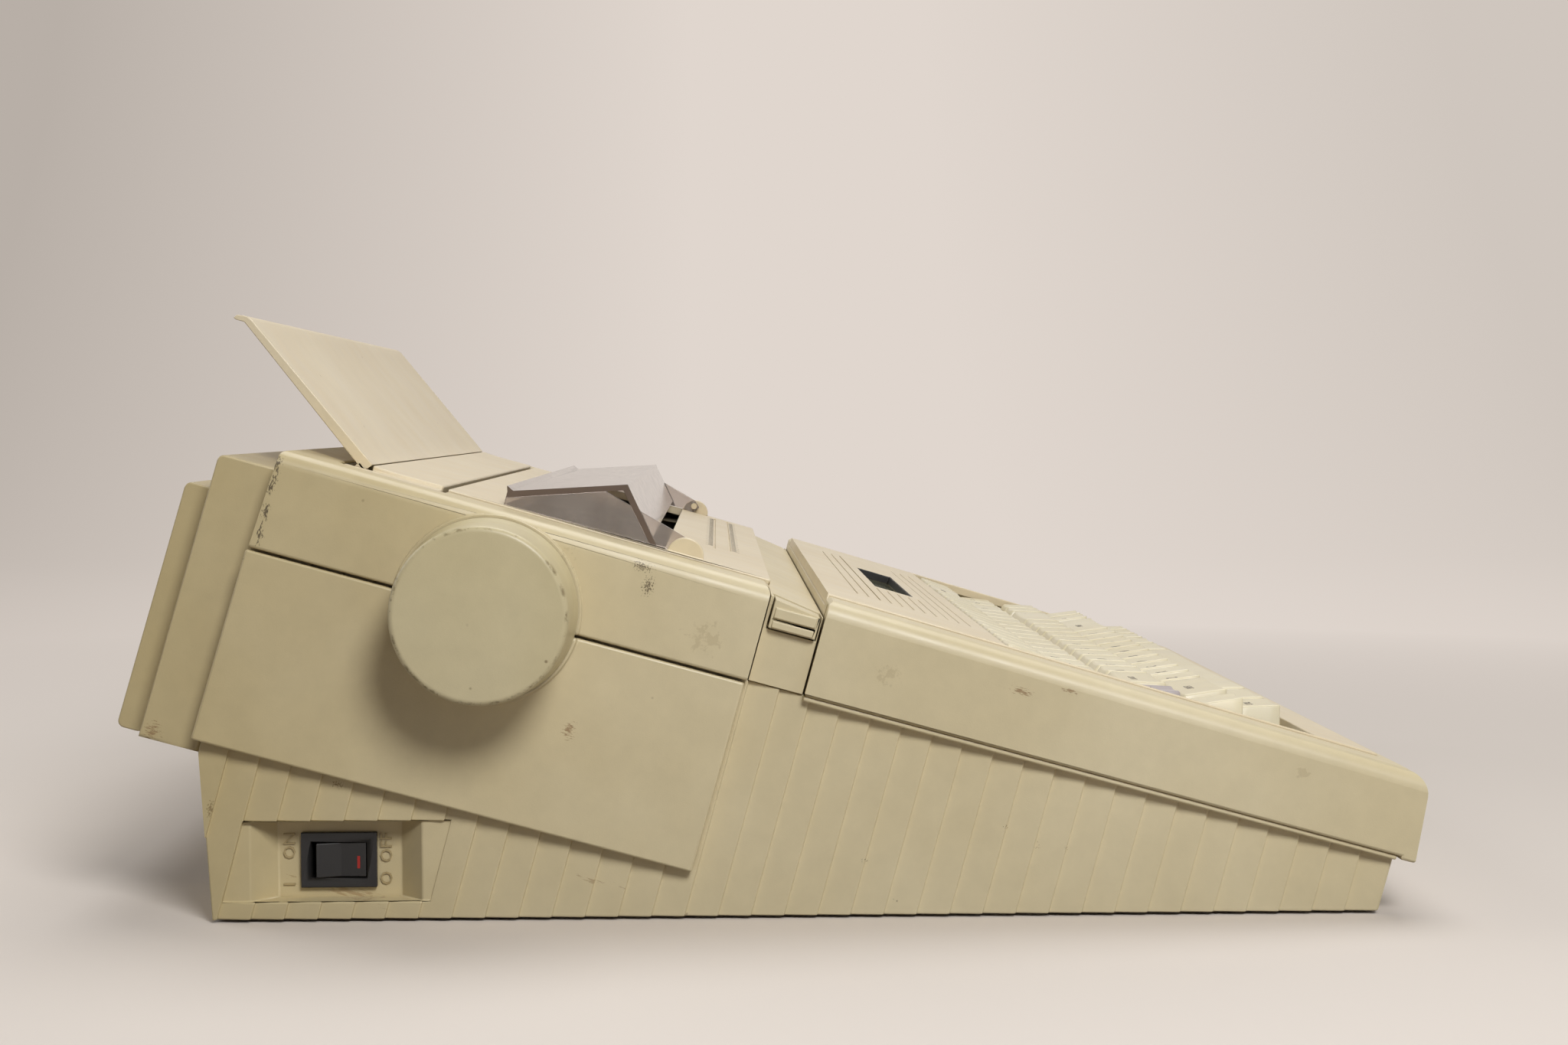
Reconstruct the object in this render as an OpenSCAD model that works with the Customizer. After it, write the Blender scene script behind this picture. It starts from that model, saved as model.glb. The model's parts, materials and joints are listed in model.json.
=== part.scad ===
/* [Case] */
// Width of the keyboard case, top cover and side panels
case_w = 400; // [394:1:420]
// Slope of the whole machine, degrees from the ground
body_tilt = 15.4; // [14.5:0.1:16]
// Height of the keyboard case's lower front edge above the ground
front_lift = 16.4; // [15:0.2:20]
// Wall thickness of the moulded shells
wall = 2.5; // [2:0.1:3]
// Radius of the long upper side edges
edge_r = 5; // [3:0.5:7]
// Width of each cheek between the side and the inset top panels
cheek_w = 22; // [21:1:24]
// How far the inset top panels stand above the cheeks
panel_proud = 0.7; // [0.3:0.1:1.2]
// Gap round each inset panel
panel_gap = 0.4; // [0.3:0.1:0.6]

/* [Base] */
// Inset of the ribbed base from each side of the case
base_inset = 3.5; // [2.5:0.5:5]
// Set-back of the base front behind the keyboard case front, along the slope
base_front = 5; // [4:1:10]
// Depth of the base at its knee, below the seam
knee_drop = 61.3; // [60:0.2:63]
// Length of the rear wall's lean, from the foot of the wall to the knee
rear_lean = 17.2; // [15:0.2:20]
// Height of the rubber feet below the base
foot_h = 0.9; // [0.8:0.1:3]
// Radius of each rubber foot
foot_r = 8; // [6:0.5:10]
// Spacing of the shingled ribs along the slope
rib_pitch = 9.3; // [8:0.1:12]
// Depth of each rib step
rib_depth = 1.2; // [0.6:0.1:1.8]
// Height of the base's rim under the keyboard case
rim_h = 1.5; // [1:0.1:2]

/* [Keyboard] */
// Length of the keyboard case along the slope
kb_len = 184.3; // [184:0.1:186]
// Height of the keyboard case at its front edge
kb_front_h = 24.9; // [24:0.1:27]
// Height of the keyboard case at its rear edge
kb_rear_h = 28.6; // [28:0.1:30]
// Radius of the keyboard case's front nose
nose_r = 7; // [5:0.5:8]
// Pitch of the keys
key_pitch = 19.05; // [18.5:0.05:19.3]
// Gap between neighbouring keycaps at their skirts
key_gap = 0.9; // [0.7:0.1:1.4]
// Inset of a keycap's top edge from its skirt
key_inset = 2.7; // [2:0.1:3.2]
// Height of the keycap skirts above the seam plane
skirt_w = 18; // [17.5:0.1:18.5]
// Travel of every key
key_travel = 3.5; // [2:0.1:3.8]
// Distance from the number row's centre to the keyboard case's rear edge
key_row_back = 66; // [65:0.1:67]
// Length of the space bar in key units
space_units = 7.5; // [6:0.25:8]

/* [Display] */
// Length of the display window
lcd_len = 116; // [80:1:120]
// Depth of the display window along the slope
lcd_deep = 13.5; // [10:0.5:16]
// Middle of the window to the right of the machine's middle
lcd_x = 12; // [0:1:20]
// Distance from the window's front edge to the keyboard case's rear edge
lcd_back = 37.3; // [35:0.1:39]

/* [Top cover] */
// Length of the channel between the keyboard case and the top cover
channel_len = 17.1; // [16.9:0.1:18]
// Length of the top cover along the slope
cover_len = 146.2; // [145.6:0.1:147]
// Height of the top cover at its front edge
cover_front_h = 28.1; // [27.8:0.1:28.6]
// Height of the top cover at its rear edge
cover_rear_h = 29.4; // [29:0.1:30]
// Length of the access cover along the slope
access_len = 98.8; // [98:0.1:99.4]
// Length of the print opening in the access cover
print_len = 50; // [46:0.5:51]
// Length of each ear that holds the clear cover
ear_len = 2.9; // [2.4:0.1:4]
// How far the top cover's lower rear edge stands behind its upper one
cover_lean = 1.6; // [0.5:0.1:1.7]
// Thickness of the clear cover's walls
clear_wall = 2; // [1.5:0.1:2.2]

/* [Paper support] */
// Inset of the paper support from each side of the case
support_inset = 26; // [24:0.5:34]
// Length of the paper support from its hinge
support_len = 55.3; // [48:0.1:58]
// Rise of the raised support above the slope, degrees
support_rise = 36.6; // [30:0.1:40]
// Thickness of the support sheet
support_t = 3.3; // [2.4:0.1:3.5]
// Inset of the chute's opening from each side of the case
slot_inset = 14; // [12:0.5:16]

/* [Rear] */
// Inset of the rear housing from each side of the case
rear_inset = 10; // [8:1:14]
// Depth of the rear housing behind the base
rear_deep = 16.5; // [14:0.5:17.5]
// Height of the rear housing above the seam plane
rear_top = 23; // [20:0.1:24]
// Lower edge of the rear housing below the seam plane
rear_drop = 62.5; // [60.5:0.1:63.5]
// How far the housing's lower rear edge stands behind its upper one, along the slope
rear_skew = 1.6; // [0:0.1:2]
// Inset of the rear door from each side of the case
door_inset = 22; // [18:1:30]
// Thickness of the rear door
door_t = 8.2; // [7:0.1:9]
// Top edge of the rear door above the seam plane
door_top = 12; // [10:0.5:14]
// Half width of the cord well
well_half = 63; // [50:1:75]
// Depth of the cord well inside the base
well_deep = 29; // [22:1:30]

/* [Platen] */
// Distance from the platen axis to the top cover's front edge
platen_back = 77.6; // [77.2:0.1:77.9]
// Platen axis above the seam plane
platen_w = 0.5; // [0.2:0.1:0.8]
// Radius of the rubber roller
platen_r = 16.5; // [16.2:0.1:16.6]
// Radius of the platen shaft
shaft_r = 4; // [3.5:0.1:4.4]
// Radius of the platen knob's face
knob_r = 25.1; // [23:0.1:26]
// Radius of the knob beside the case
knob_base_r = 26.4; // [26:0.1:27]
// Reach of the knob beyond the case
knob_out = 26; // [20:0.5:30]
// Radius of the raised collar round the knob
collar_r = 27.4; // [27.2:0.1:29]

/* [Mechanism] */
// Distance from each side frame's inner face to the side of the case
frame_inset = 25; // [24.6:0.1:25.4]
// Thickness of the steel frames
frame_t = 1.5; // [1:0.1:2]
// Gear module of the line-feed train
gear_m = 1; // [0.9:0.05:1]
// Teeth on the platen gear
platen_teeth = 44; // [42:2:44]
// Teeth on the idler gear
idler_teeth = 22; // [20:2:24]
// Teeth on the feed motor's pinion
pinion_teeth = 12; // [10:2:14]
// Radius of the pressure rollers
feed_r = 6; // [5.5:0.1:6.2]
// Radius of the carriage guide rod
rod_r = 5; // [4:0.1:5.2]
// Rest place of the carriage from the middle
carriage_home = -60; // [-100:5:0]
// Radius of the print wheel
wheel_r = 30; // [26:0.5:31]
// Number of petals on the print wheel
petals = 40; // [24:4:48]
// Radius of the belt pulleys
pulley_r = 8; // [6:0.5:9]

/* [Switch] */
// Length of the rocker switch's frame
switch_len = 22; // [20:0.5:24]
// Height of the rocker switch's frame
switch_h = 16.2; // [15:0.2:18]
// Depth of the recess round the switch
recess_deep = 9; // [7:0.5:10]

/* [Latches] */
// Reach of each latch button beyond the trim
latch_out = 2.8; // [2:0.1:3]
// Length of a latch button along the machine's width
latch_len = 13.5; // [10:0.5:15]

/* [Hidden] */
$fn = 64;
half_w = case_w / 2;
panel_half = half_w - cheek_w;
base_half = half_w - base_inset;
floor_in = front_lift - foot_h;
key_row_v = kb_len - key_row_back;
key_field_left = half_w - 24;
lcd_v = kb_len - lcd_back;
cover_v0 = kb_len + channel_len;
cover_v1 = cover_v0 + cover_len;
base_len = cover_v1 + 1.9;
foot_v = base_len - rear_lean;
frame_in = half_w - frame_inset;
tan_t = tan(body_tilt);
cos_t = cos(body_tilt);
sin_t = sin(body_tilt);
run = 0.3;
slip = 0.1;
press = 0.02;

// Height, in slope coordinates, of the base underside at v
function under(v) = -floor_in / cos_t - v * tan_t;
// Height of the base's inner floor at v
function floor_w(v) = under(v) + wall / cos_t;
// Ground-frame place of a point given in slope coordinates
function ground_y(v, w) = v * cos_t - w * sin_t;
function ground_z(v, w) = front_lift + v * sin_t + w * cos_t;
// Place along the slope, from the top cover's front edge
function behind(d) = cover_v0 + d;
// Points on an arc
function arc(cv, cw, r, a0, a1, n) = [for (i = [0 : n]) let (a = a0 + (a1 - a0) * i / n)
    [cv + r * cos(a), cw + r * sin(a)]];

rear_half = half_w - rear_inset;
rear_v1 = base_len + rear_deep;
door_half = half_w - door_inset;
door_v0 = rear_v1 + 1;
door_v1 = door_v0 + door_t;
door_low = rear_drop + 0.8;
nose_c = [8.2, kb_front_h - nose_r - 0.1];
function rear_face(w) = rear_v1 + rear_skew * (rear_top - w) / (rear_top + rear_drop);
y_rear = ground_y(rear_face(-door_low) + door_v1 - rear_v1, -door_low);
y_nose = ground_y(nose_c[0], nose_c[1]) - nose_r;
y_front = -(y_rear + y_nose) / 2;
x_off = knob_out / 2;
kb_slope = atan((kb_rear_h - kb_front_h) / kb_len);
cover_slope = atan((cover_rear_h - cover_front_h) / (cover_v1 - cover_v0));
function kb_top(v) = kb_front_h + v * tan(kb_slope);
function cover_top(v) = cover_front_h + (v - cover_v0) * tan(cover_slope);

shell_c = "#d8cba8";
key_c = "#e6dcc0";
steel_c = "#a8abae";
dark_c = "#2b2b2d";
board_c = "#3d6b48";
brass_c = "#b79a55";
white_c = "#e8e6df";

// Frames of reference
module ground() {
    translate([x_off, y_front, 0]) children();
}
module slope() {
    translate([x_off, y_front, front_lift]) rotate([body_tilt, 0, 0]) children();
}

// Prisms along each axis of the slope frame
module prism_x(points, x0, x1) {
    translate([x0, 0, 0]) rotate([90, 0, 90]) linear_extrude(x1 - x0) polygon(points);
}
module prism_v(points, v0, v1) {
    translate([0, v1, 0]) rotate([90, 0, 0]) linear_extrude(v1 - v0) polygon(points);
}
module prism_w(points, w0, w1) {
    translate([0, 0, w0]) linear_extrude(w1 - w0) polygon(points);
}
module block(x0, x1, v0, v1, w0, w1) {
    translate([x0, v0, w0]) cube([x1 - x0, v1 - v0, w1 - w0]);
}
module rod_x(v, w, r, x0, x1) {
    translate([x0, v, w]) rotate([0, 90, 0]) cylinder(r = r, h = x1 - x0);
}
module rod_v(x, w, r, v0, v1) {
    translate([x, v1, w]) rotate([90, 0, 0]) cylinder(r = r, h = v1 - v0);
}
module rod_w(x, v, r, w0, w1) {
    translate([x, v, w0]) cylinder(r = r, h = w1 - w0);
}
module both_sides() {
    children();
    mirror([1, 0, 0]) children();
}

// Cross-section of a shell whose two upper side edges are round
function round_top(half, top, low, r) = concat(
    [[-half, low], [half, low]],
    arc(half - r, top - r, r, 0, 90, 6),
    arc(-half + r, top - r, r, 90, 180, 6));

// Base
rear_knee = [base_len - 0.7, -knee_drop];
post_x = half_w - 50;
post_v = [behind(40.6), behind(116.6)];
post_r = 5;
plate_w = -66.5;
plate_t = frame_t;
board_x = half_w - 60;
board_v = [45, 112];
board_w = -14;
board_t = 1.6;

module base_outer(grow) {
    prism_x([
        [base_front + grow, under(base_front + grow) + grow / cos_t],
        [base_front + grow, grow > 0 ? 1 : 0],
        [base_len - grow, grow > 0 ? 1 : 0],
        [rear_knee[0] - grow, rear_knee[1]],
        [foot_v - grow * 1.15, under(foot_v) + grow / cos_t]
    ], -base_half - 1, base_half + 1);
}

module base_teeth() {
    first = base_front + 0.5 - rib_pitch;
    teeth = ceil((base_len - first) / rib_pitch);
    side = [for (i = [0 : teeth - 1]) for (k = [0, 1])
        [base_half - k * rib_depth, first + (i + k) * rib_pitch]];
    other = [for (i = [len(side) - 1 : -1 : 0]) [-side[i][0], side[i][1]]];
    prism_w(concat(side, other), under(foot_v) - wall, 1);
}

// Ground-frame places of the switch recess, from the base's lower rear corner
corner_y = ground_y(foot_v, under(foot_v));
recess_y = corner_y - 2.8;
floor_rear = recess_y - 15;
floor_front = recess_y - 50.9;
recess_wall = 7;
recess_z = [foot_h + 5.1, foot_h + 28.5];
recess_lean = 6.2;
switch_y = recess_y - 32.8;
switch_z = foot_h + 16.1;
floor_x = -base_half + recess_deep;
switch_open_y = 19.4;
switch_open_z = 13.6;

module recess_cut() {
    prism_x([
        [recess_y - 60, recess_z[0]],
        [recess_y, recess_z[0]],
        [recess_y - recess_lean, recess_z[1]],
        [recess_y - 60 - recess_lean, recess_z[1]]
    ], -base_half - 2, -base_half + rib_depth + 0.2);
    translate([0, 0, recess_z[0]]) linear_extrude(recess_z[1] - recess_z[0]) polygon([
        [-base_half + rib_depth, floor_rear + recess_wall],
        [floor_x, floor_rear],
        [floor_x, floor_front],
        [-base_half + rib_depth, floor_front - recess_wall]
    ]);
    translate([floor_x - 1, switch_y - switch_open_y / 2, switch_z - switch_open_z / 2])
        cube([wall + 3, switch_open_y, switch_open_z]);
}

module recess_block() {
    translate([-base_half + rib_depth, recess_y - 70, foot_h])
        cube([recess_deep + wall - rib_depth, corner_y - recess_y + 70, recess_z[1] + wall - foot_h]);
}

inlet_x = -112;
inlet_low = 8;
inlet_tilt = -atan((rear_knee[0] - foot_v) / (rear_knee[1] - under(foot_v)));
inlet_v = (rear_knee[0] + foot_v) / 2;
inlet_w = (rear_knee[1] + under(foot_v)) / 2;
module inlet_frame() {
    translate([inlet_x, inlet_v, inlet_w]) rotate([inlet_tilt, 0, 0]) translate([0, 0, -inlet_low]) children();
}

module knob_hole(r) {
    rod_x(platen_v, platen_w, r, -half_w - 5, -base_half + 12);
}
hub_r = 8;
hub_hole_r = hub_r + 1.5;

rim_inset = 1;
well_v0 = base_len - well_deep;
well_w = [-53, 0];
module lower_case() {
    color(shell_c) difference() {
        union() {
            slope() difference() {
                intersection() {
                    base_outer(0);
                    base_teeth();
                }
                intersection() {
                    base_outer(wall);
                    block(-base_half + rib_depth + wall, base_half - rib_depth - wall, 0, base_len, -120, 5);
                }
            }
            intersection() {
                ground() recess_block();
                slope() base_outer(0);
            }
            slope() difference() {
                union() {
                    for (x = [-post_x, post_x], v = post_v)
                        rod_w(x, v, post_r, under(v) + 1.5, plate_w - plate_t);
                    for (x = [-board_x, board_x], v = board_v)
                        rod_w(x, v, 3, under(v) + 1.5, board_w);
                    block(-well_half - 2, well_half + 2, well_v0 - 2, base_len - 1,
                        well_w[0] - 2, well_w[1]);
                }
                for (x = [-post_x, post_x], v = post_v)
                    rod_w(x, v, 1.5, plate_w - 12, plate_w);
                for (x = [-board_x, board_x], v = board_v)
                    rod_w(x, v, 1.2, board_w - 8, board_w + 1);
            }
            slope() both_sides() block(base_half - rib_depth - 1, half_w - rim_inset, base_front,
                kb_len, -rim_h, 0);
        }
        ground() recess_cut();
        slope() block(-well_half, well_half, well_v0, base_len + 1, well_w[0], well_w[1] - 2);
        slope() knob_hole(hub_hole_r);
        slope() inlet_frame() translate([-12.5, -8, -8.5]) cube([25, 16, 17]);
        ground() foot_discs(foot_r + slip, 1);
    }
}

foot_x = base_half - 22;
foot_rear_y = recess_y - 26;
foot_front_y = ground_y(base_front, under(base_front)) + 22;
foot_seat = 1;
module foot_discs(r, past) {
    both_sides() for (y = [foot_rear_y, foot_front_y])
        translate([foot_x, y, -past]) cylinder(r = r, h = foot_h + foot_seat + past);
}
module rubber_feet() {
    color(dark_c) ground() foot_discs(foot_r, 0);
}

// Side panels, proud of the ribs
seam = 0.8;
panel_v0 = behind(0.9);
panel_drop = 57.7;
module side_plate(sign) {
    prism_x([
        [panel_v0, -panel_drop], [base_len + 1.6, -panel_drop], [base_len + 0.3, -seam], [panel_v0 - 0.4, -seam]
    ], sign > 0 ? base_half : -half_w, sign > 0 ? half_w : -base_half);
}
collar_out = 1.5;
module collar() {
    rod_x(platen_v, platen_w, collar_r, -half_w - collar_out, -half_w + 1);
}
module side_panel_left() {
    color(shell_c) slope() difference() {
        union() {
            side_plate(-1);
            intersection() {
                collar();
                block(-half_w - 2, -half_w + 2, cover_v0, base_len + 10, -40, -seam);
            }
        }
        knob_hole(hub_hole_r);
    }
}
module side_panel_right() {
    color(shell_c) slope() side_plate(1);
}

// Keyboard case
kb_flange = 5;
apron_v = 12;
well_v = [key_row_v - 86.8, key_row_v + 10.7];
bay_v = [3, kb_len - wall];
kb_board_post_x = half_w - 13;
kb_post_v = [key_row_v - 90.3, key_row_v - 38.3, key_row_v + 12.7];
kb_plate_w = 13.5;
lip_drop = 0.9;
kb_plate_t = 1.2;

module kb_outer() {
    intersection() {
        prism_x(concat(
            [[-0.4, -lip_drop], [base_front - 1, -lip_drop], [base_front - 1, 0]],
            [[kb_len, 0], [kb_len, kb_top(kb_len) - 1.2], [kb_len - 1.2, kb_top(kb_len)]],
            [[nose_c[0], kb_top(nose_c[0])]],
            arc(nose_c[0], nose_c[1], nose_r, 95, 172, 8)), -half_w, half_w);
        translate([0, 0, kb_front_h]) rotate([kb_slope, 0, 0])
            prism_v(round_top(half_w, 0.02, -60, edge_r), -20, kb_len + 20);
    }
}
module kb_cover_slab(half, v0, v1, depth0, depth1) {
    translate([0, 0, kb_front_h]) rotate([kb_slope, 0, 0]) block(-half, half, v0, v1, -depth1, -depth0);
}
module keyboard_case() {
    color(shell_c) slope() difference() {
        union() {
            difference() {
                kb_outer();
                intersection() {
                    block(-half_w + wall, half_w - wall, bay_v[0] + 2, bay_v[1], wall, 60);
                    kb_cover_slab(half_w, -20, kb_len + 20, wall, 60);
                    prism_x([[nose_c[0] - 4, -1], [kb_len, -1], [kb_len, 60], [nose_c[0], 60],
                        [nose_c[0] - 4, nose_c[1]]], -half_w, half_w);
                }
                block(-base_half + kb_flange - 1, base_half - kb_flange + 1, base_front + 3,
                    bay_v[1], -1, wall + 1);
            }
            difference() {
                kb_cover_slab(panel_half + 3, apron_v - 3, bay_v[1] + 0.5, wall - 0.5, wall + 2.1);
                kb_cover_slab(panel_half - 4, apron_v + 4, bay_v[1] - 3, 0, 60);
                kb_cover_slab(panel_half + 1, well_v[0] - 1, well_v[1] + 1, 0, 60);
            }
            both_sides() for (v = kb_post_v)
                rod_w(kb_board_post_x, v, 3, kb_plate_w, kb_top(v) - wall + 0.2);
        }
        kb_cover_slab(panel_half, apron_v, kb_len + 1, -2, wall + 0.05);
        both_sides() for (v = kb_post_v) rod_w(kb_board_post_x, v, 1.2, kb_plate_w - 1, kb_plate_w + 6);
        block(-half_w + 7, -half_w + 11, kb_len - 1, kb_len + 1, 20, 26.6);
    }
}

// Inset keyboard panel: instrument strip at the rear, apron in front of the keys
well_half_x = key_field_left + 0.6;
line_count = 11;
line_v0 = key_row_v + 16.3;
line_pitch = (kb_len - 12.2 - line_v0) / (line_count - 1);
line_x0 = -130;
groove = 0.5;
lcd_x0 = lcd_x - lcd_len / 2;
lcd_x1 = lcd_x + lcd_len / 2;
lcd_v1 = lcd_v + lcd_deep;
lcd_window_t = 1.5;
lcd_boss_x = [lcd_x0 - 11, lcd_x1 + 11];
lcd_boss_v = [lcd_v - 5, lcd_v1 + 5];
lcd_board_d = 10;

module keyboard_panel() {
    rear = kb_len - 0.2;
    color(shell_c) slope() translate([0, 0, kb_front_h]) rotate([kb_slope, 0, 0]) difference() {
        union() {
            block(-panel_half + panel_gap, panel_half - panel_gap, apron_v + panel_gap, rear,
                -wall, panel_proud);
            for (x = lcd_boss_x, v = lcd_boss_v) rod_w(x, v, 2.5, -lcd_board_d, -wall + 0.2);
        }
        block(-well_half_x, well_half_x, well_v[0], well_v[1], -wall - 1, panel_proud + 1);
        block(lcd_x0, lcd_x1, lcd_v, lcd_v1, -wall - 1, panel_proud + 1);
        for (i = [0 : line_count - 1]) {
            v = line_v0 + i * line_pitch;
            beside = v > lcd_v - 4 && v < lcd_v1 + 2;
            block(line_x0, beside ? lcd_x0 - 8 : -line_x0, v - groove / 2, v + groove / 2,
                panel_proud - groove, panel_proud + 1);
        }
    }
}
module lcd_window() {
    color("#8f917a", 0.6) slope() translate([0, 0, kb_front_h]) rotate([kb_slope, 0, 0])
        block(lcd_x0 - 3, lcd_x1 + 3, lcd_v - 2.5, lcd_v1 + 2.5, -wall - lcd_window_t, -wall);
}
module lcd_module() {
    color(dark_c) slope() translate([0, 0, kb_front_h]) rotate([kb_slope, 0, 0]) difference() {
        union() {
            block(lcd_x0 - 5, lcd_x1 + 5, lcd_v - 2.6, lcd_v1 + 2.6, -lcd_board_d,
                -wall - lcd_window_t);
            block(lcd_x0 - 15, lcd_x1 + 15, lcd_v - 9, lcd_v1 + 9, -lcd_board_d - 1.6, -lcd_board_d);
        }
        block(lcd_x0, lcd_x1, lcd_v, lcd_v1, -wall - lcd_window_t - 0.6, 0);
    }
}

// Channel between the keyboard case and the top cover
trim_half = half_w - 3;
trim_v = [kb_len + 0.5, cover_v0 - 0.4];
trim_top = [23.2, 25.6];
latch_v = [trim_v[0] + 0.9, trim_v[1] - 1.4];
latch_w = 16.4;
latch_travel = 2.5;
latch_gap = 0.5;
latch_pocket = latch_len + latch_travel + 1 - latch_out;

module trim_profile(drop, side) {
    prism_x([
        [trim_v[0] + side, 0.1 - side], [trim_v[1] - side, 0.1 - side],
        [trim_v[1] - side, trim_top[1] - drop], [trim_v[0] + side, trim_top[0] - drop]
    ], -trim_half + side, trim_half - side);
}
module channel_trim() {
    color(shell_c) slope() difference() {
        union() {
            difference() {
                trim_profile(0, 0);
                trim_profile(2, 2);
            }
            both_sides() difference() {
                block(-trim_half, -trim_half + latch_pocket + 2, trim_v[0], trim_v[1],
                    latch_w - latch_gap - 2, latch_w - latch_gap);
                block(-trim_half + latch_pocket + 3, 0, trim_v[0] - 1, trim_v[1] + 1, 0, 40);
            }
        }
        both_sides() block(-trim_half - 1, -trim_half + latch_pocket, latch_v[0] - latch_gap,
            latch_v[1] + latch_gap, latch_w - latch_gap, 40);
    }
}
module latch() {
    run_w = trim_v[1] - trim_v[0];
    function top(v) = trim_top[0] + (v - trim_v[0]) * (trim_top[1] - trim_top[0]) / run_w - 0.3;
    difference() {
        union() {
            prism_x([
                [latch_v[0], latch_w], [latch_v[1], latch_w],
                [latch_v[1], top(latch_v[1])], [latch_v[0], top(latch_v[0])]
            ], -trim_half - latch_out + 0.8, -trim_half - latch_out + latch_len);
            block(-trim_half - latch_out, -trim_half - latch_out + 1, latch_v[0] + 0.8,
                latch_v[1] - 0.8, latch_w + 0.3, latch_w + 2.4);
            block(-trim_half - latch_out, -trim_half - latch_out + 1, latch_v[0] + 0.8,
                latch_v[1] - 0.8, latch_w + 3.2, top(latch_v[0]) - 0.4);
        }
        block(-trim_half - latch_out + 3, -trim_half - latch_out + latch_len - 2,
            latch_v[0] + 2, latch_v[1] - 2, latch_w - 1, latch_w + 4);
    }
}
module latch_left() {
    color(shell_c) slope() latch();
}
module latch_right() {
    color(shell_c) slope() mirror([1, 0, 0]) latch();
}

// Top cover
access_v1 = behind(0.2 + access_len);
access_hinge = [access_v1 - 1.2, cover_top(access_v1) - 1.6];
access_pin_r = 1.2;
slot_half = half_w - slot_inset;
support_v = behind(128);
support_w = cover_top(support_v) - 2.8;
support_pin_r = 1.5;
slot_v = [access_v1 + 0.6, support_v + 3.4];
slot_r = 6;

module cover_slab(half, v0, v1, depth0, depth1) {
    translate([0, cover_v0, cover_front_h]) rotate([cover_slope, 0, 0])
        block(-half, half, v0 - cover_v0, v1 - cover_v0, -depth1, -depth0);
}
module cover_outer() {
    intersection() {
        prism_x(concat(
            [[cover_v0, 0], [cover_v1 + cover_lean, 0]],
            arc(cover_v1 - 2, cover_top(cover_v1) - 2, 2, 0, 90, 4),
            arc(cover_v0 + 3, cover_top(cover_v0) - 3, 3, 90, 180, 6)), -half_w, half_w);
        translate([0, cover_v0, cover_front_h]) rotate([cover_slope, 0, 0])
            prism_v(round_top(half_w, 0.02, -60, edge_r), -20, cover_len + 20);
    }
}
module top_cover() {
    color(shell_c) slope() difference() {
        union() {
            difference() {
                cover_outer();
                intersection() {
                    block(-half_w + wall, half_w - wall, cover_v0 + wall, cover_v1 - wall, wall, 60);
                    cover_slab(half_w, cover_v0 - 20, cover_v1 + 20, wall, 60);
                }
                block(-base_half + kb_flange - 1, base_half - kb_flange + 1, cover_v0 + wall,
                    cover_v1 - wall, -1, wall + 1);
            }
            intersection() {
                collar();
                block(-half_w - 2, -half_w + 2, cover_v0, base_len + 10, 0, 40);
            }
            both_sides() prism_x([
                [access_hinge[0] - 4, access_hinge[1] - 5], [access_hinge[0] + 3, access_hinge[1] - 5],
                [access_hinge[0] + 3, cover_top(access_hinge[0]) - 1],
                [access_hinge[0] - 4, cover_top(access_hinge[0]) - 1]
            ], panel_half + 0.6, panel_half + 3.6);
        }
        cover_slab(panel_half, cover_v0 - 2, slot_v[0] + 1, -3, wall + 0.4);
        block(-panel_half, panel_half, cover_v0 - 1, cover_v0 + wall + 1, trim_top[1] - 1, 40);
        prism_w(slot_plan(0, 0), cover_front_h - 6, 60);
        both_sides()
            rod_x(access_hinge[0], access_hinge[1], access_pin_r + slip, panel_half, panel_half + 5);
        knob_hole(hub_hole_r);
    }
}

// Paper chute in its opening, behind the access cover; it holds the paper support
function slot_plan(inset, front) = concat(
    [[-slot_half + inset, slot_v[0] + front], [slot_half - inset, slot_v[0] + front]],
    arc(slot_half - slot_r, slot_v[1] - slot_r, slot_r - inset, 0, 90, 8),
    arc(-slot_half + slot_r, slot_v[1] - slot_r, slot_r - inset, 90, 180, 8));
support_half = half_w - support_inset;
chute_gap = 0.6;
chute_front = 1.4;
chute_t = 2.4;
chute_rise = 1.1;
chute_v1 = support_v - 5.3;
boss_x = [support_half + 0.6, support_half + 3.6];
module paper_chute() {
    frame_w = cover_top(slot_v[0]) - chute_t;
    top = frame_w + chute_t + chute_rise;
    color(shell_c) slope() difference() {
        union() {
            prism_w(slot_plan(chute_gap, chute_front), frame_w, frame_w + chute_t);
            prism_x([
                [slot_v[0] + chute_front, frame_w + 1], [chute_v1, frame_w + 1], [chute_v1, top + 0.5],
                [chute_v1 - 3, top + 0.2], [chute_v1 - 8, top], [slot_v[0] + chute_front, top]
            ], -support_half, support_half);
            both_sides() {
                block(boss_x[0], boss_x[1], support_v - 4, support_v + 2.6, support_w - 4, frame_w + 1);
                block(slot_half - 8, slot_half + 4, slot_v[0] + 6, slot_v[1] - 8, frame_w - 2.2, frame_w - 0.3);
                block(slot_half - 8, slot_half - 2, slot_v[0] + 6, slot_v[1] - 8, frame_w - 2.2, frame_w + 1);
            }
        }
        block(-boss_x[0], boss_x[0], chute_v1, support_v + 2.6, 0, 60);
        both_sides() rod_x(support_v, support_w, support_pin_r + slip, boss_x[0] - 1, boss_x[1] + 1);
    }
}

// Rear housing and its drop-down door
rear_front_v = base_len + 0.6;
door_hinge = [rear_v1 + rear_skew - 4, -rear_drop - 3.2];
door_pin_r = 1.5;
lug_x = [58 - door_half, door_half - 58];
lug_w = 14;

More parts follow.
